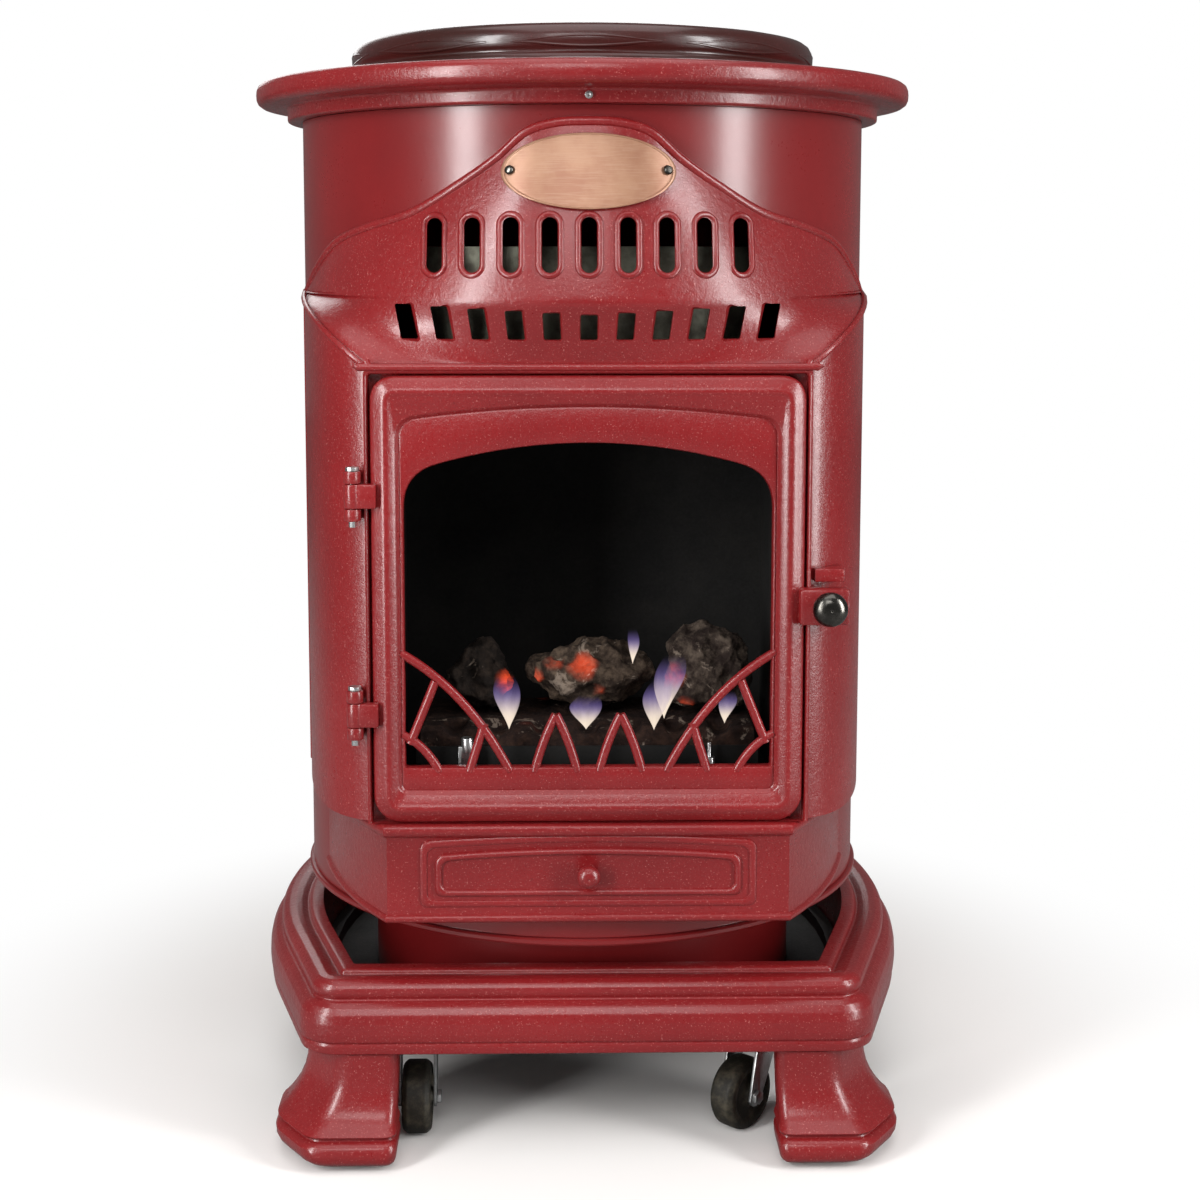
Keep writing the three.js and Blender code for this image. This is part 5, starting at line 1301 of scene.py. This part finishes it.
def makeFlame(index, x, y, low, tall, wide, lean):
    profile = [(0, 0)]
    for step in range(1, 24):
        t = step / 24
        profile.append((wide / 2 * math.sin(math.pi * t ** 1.35 * 0.94) ** 0.9, tall * t))
    profile.append((0, tall))
    piece = turned("flame_" + str(index), profile, 32)
    for vertex in piece.data.vertices:
        rise = vertex.co.z / (tall * mm)
        angle = math.atan2(vertex.co.y, vertex.co.x)
        vertex.co.z += 0.07 * tall * mm * math.sin(3 * angle + index) * rise * rise
        vertex.co.x += (lean * rise * rise + 1.2 * math.sin(4.5 * rise + index) * rise) * mm
        vertex.co.y = vertex.co.y * 0.5 + 3 * mm * rise * rise
    piece.data.transform(Matrix.Translation(Vector((x, y, low)) * mm))
    smoothed(piece, 80)
    piece.data.materials.append(flameFinish("flame" + str(index), low, low + tall))
    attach(piece, "root")
    return piece


for index, flame in enumerate(flames):
    makeFlame(index + 1, *flame)


def makeHose():
    x, z, y = -45, 701.0, -76.7
    points = [(x, y, z), (x, y + 12, z), (x + 14, y + 36, z), (x + 60, y + 58, z + 2),
              (x + 120, y + 76, z + 4), (x + 172, y + 92, z + 2), (152, 20, z - 5),
              (164, 20, z - 16), (166, 20, 672.3), (166, 20, 664.3)]
    hose = tubeAlong("gas_hose_tube", spline(points, 14), 4.5, 5)
    return fitted(hose, "gas_hose", hoseFinish, 60)


def makeRegulator():
    r = 25
    profile = softened([(0, 0), (13, 0), (13, 14), (16, 16), (r - 1.5, 18), (r, 20), (r, 34),
                        (r - 1.5, 37), (r - 5, 42), (10, 45), (8.4, 47), (7, 50), (7, 64), (0, 64)],
                       1.4, 3)
    piece = turned("regulator_body", profile, 64, (166, 20, 600))
    return fitted(piece, "regulator", baffleSteel, 35)


makeHose()
makeRegulator()
print("fire and gas line ready")


# Floor, light, camera.

studio = {"floor": 0.9, "fade": (0.26, 0.6), "world": 0.15,
          "bounce": 0.3}


def makeFloor():
    bpy.ops.object.select_all(action="DESELECT")
    bpy.ops.mesh.primitive_circle_add(vertices=96, radius=6, fill_type="NGON", location=(0, 0, 0))
    floor = fresh("studioFloor")
    finish = Finish("studioFloorPaint", {"Roughness": 0.9, "Specular IOR Level": 0.1})
    grey = studio["floor"]
    mottle = finish.noise(3, 2.0)
    seen = Signal(finish, finish.node("ShaderNodeLightPath").outputs["Is Camera Ray"])
    pale = finish.mixed(mottle, (grey, grey * 0.98, grey * 0.96),
                        (grey * 0.99, grey * 0.965, grey * 0.94))
    dim = studio["bounce"]
    finish.set({"Base Color": finish.mixed(seen, (dim, dim, dim), pale)})
    away = finish.distanceTo(0, 0, 0).between(*studio["fade"])
    glow = finish.node("ShaderNodeEmission", {}, {"Color": (1, 1, 1, 1), "Strength": 1.0})
    mix = finish.node("ShaderNodeMixShader", {}, {0: away * seen})
    finish.tree.links.new(finish.shader.outputs[0], mix.inputs[1])
    finish.tree.links.new(glow.outputs[0], mix.inputs[2])
    finish.tree.links.new(mix.outputs[0], finish.output.inputs[0])
    floor.data.materials.append(finish.material)


def makeWorld():
    world = bpy.data.worlds.new("studioWorld")
    bpy.context.scene.world = world
    world.use_nodes = True
    tree = world.node_tree
    tree.nodes.clear()
    output = tree.nodes.new("ShaderNodeOutputWorld")
    background = tree.nodes.new("ShaderNodeBackground")
    path = tree.nodes.new("ShaderNodeLightPath")
    seen = tree.nodes.new("ShaderNodeMath")
    seen.operation = "MAXIMUM"
    tree.links.new(path.outputs["Is Camera Ray"], seen.inputs[0])
    tree.links.new(path.outputs["Is Transmission Ray"], seen.inputs[1])
    spread = tree.nodes.new("ShaderNodeMapRange")
    spread.inputs["To Min"].default_value = studio["world"]
    spread.inputs["To Max"].default_value = 1.0
    tree.links.new(seen.outputs[0], spread.inputs["Value"])
    tree.links.new(spread.outputs[0], background.inputs["Strength"])
    background.inputs["Color"].default_value = (1, 1, 1, 1)
    tree.links.new(background.outputs[0], output.inputs[0])


def makeLamp(name, azimuth, elevation, distance, wide, high, power, aim=(0, 0, 0.42)):
    a, e = math.radians(azimuth), math.radians(elevation)
    away = Vector((math.sin(a) * math.cos(e), -math.cos(a) * math.cos(e), math.sin(e))) * distance
    bpy.ops.object.light_add(type="AREA", location=Vector(aim) + away)
    lamp = fresh(name)
    lamp.rotation_euler = away.to_track_quat("Z", "Y").to_euler()
    lamp.data.shape = "RECTANGLE"
    lamp.data.size, lamp.data.size_y, lamp.data.energy = wide, high, power
    return lamp


lamps = [  # name, azimuth, elevation, distance, width, height, power
    ("leftSoftbox", -45, 13, 2.0, 0.34, 1.7, 41),
    ("rightSoftbox", 58, 13, 2.0, 0.38, 1.7, 38),
    ("frontSoftbox", -4, 32, 2.2, 0.9, 0.6, 10),
    ("topSoftbox", 10, 78, 1.9, 1.8, 1.8, 19),
    ("backSoftbox", 190, 28, 2.4, 1.6, 1.0, 12),
]


def makeCamera():
    data = bpy.data.cameras.new("studioCamera")
    data.lens, data.sensor_width = 56.54, 36
    data.shift_x, data.shift_y = 0.0175, -0.115
    camera = bpy.data.objects.new("studioCamera", data)
    camera.location = (-0.02739, -1.43665, 0.615)
    camera.rotation_euler = [math.radians(a) for a in (83.717, 0, -0.995)]
    bpy.context.scene.collection.objects.link(camera)
    bpy.context.scene.camera = camera


makeFloor()
makeWorld()
for lamp in lamps:
    makeLamp(*lamp)
makeCamera()
bpy.context.scene.view_settings.view_transform = "Standard"
print("studio ready")

bpy.context.view_layer.update()
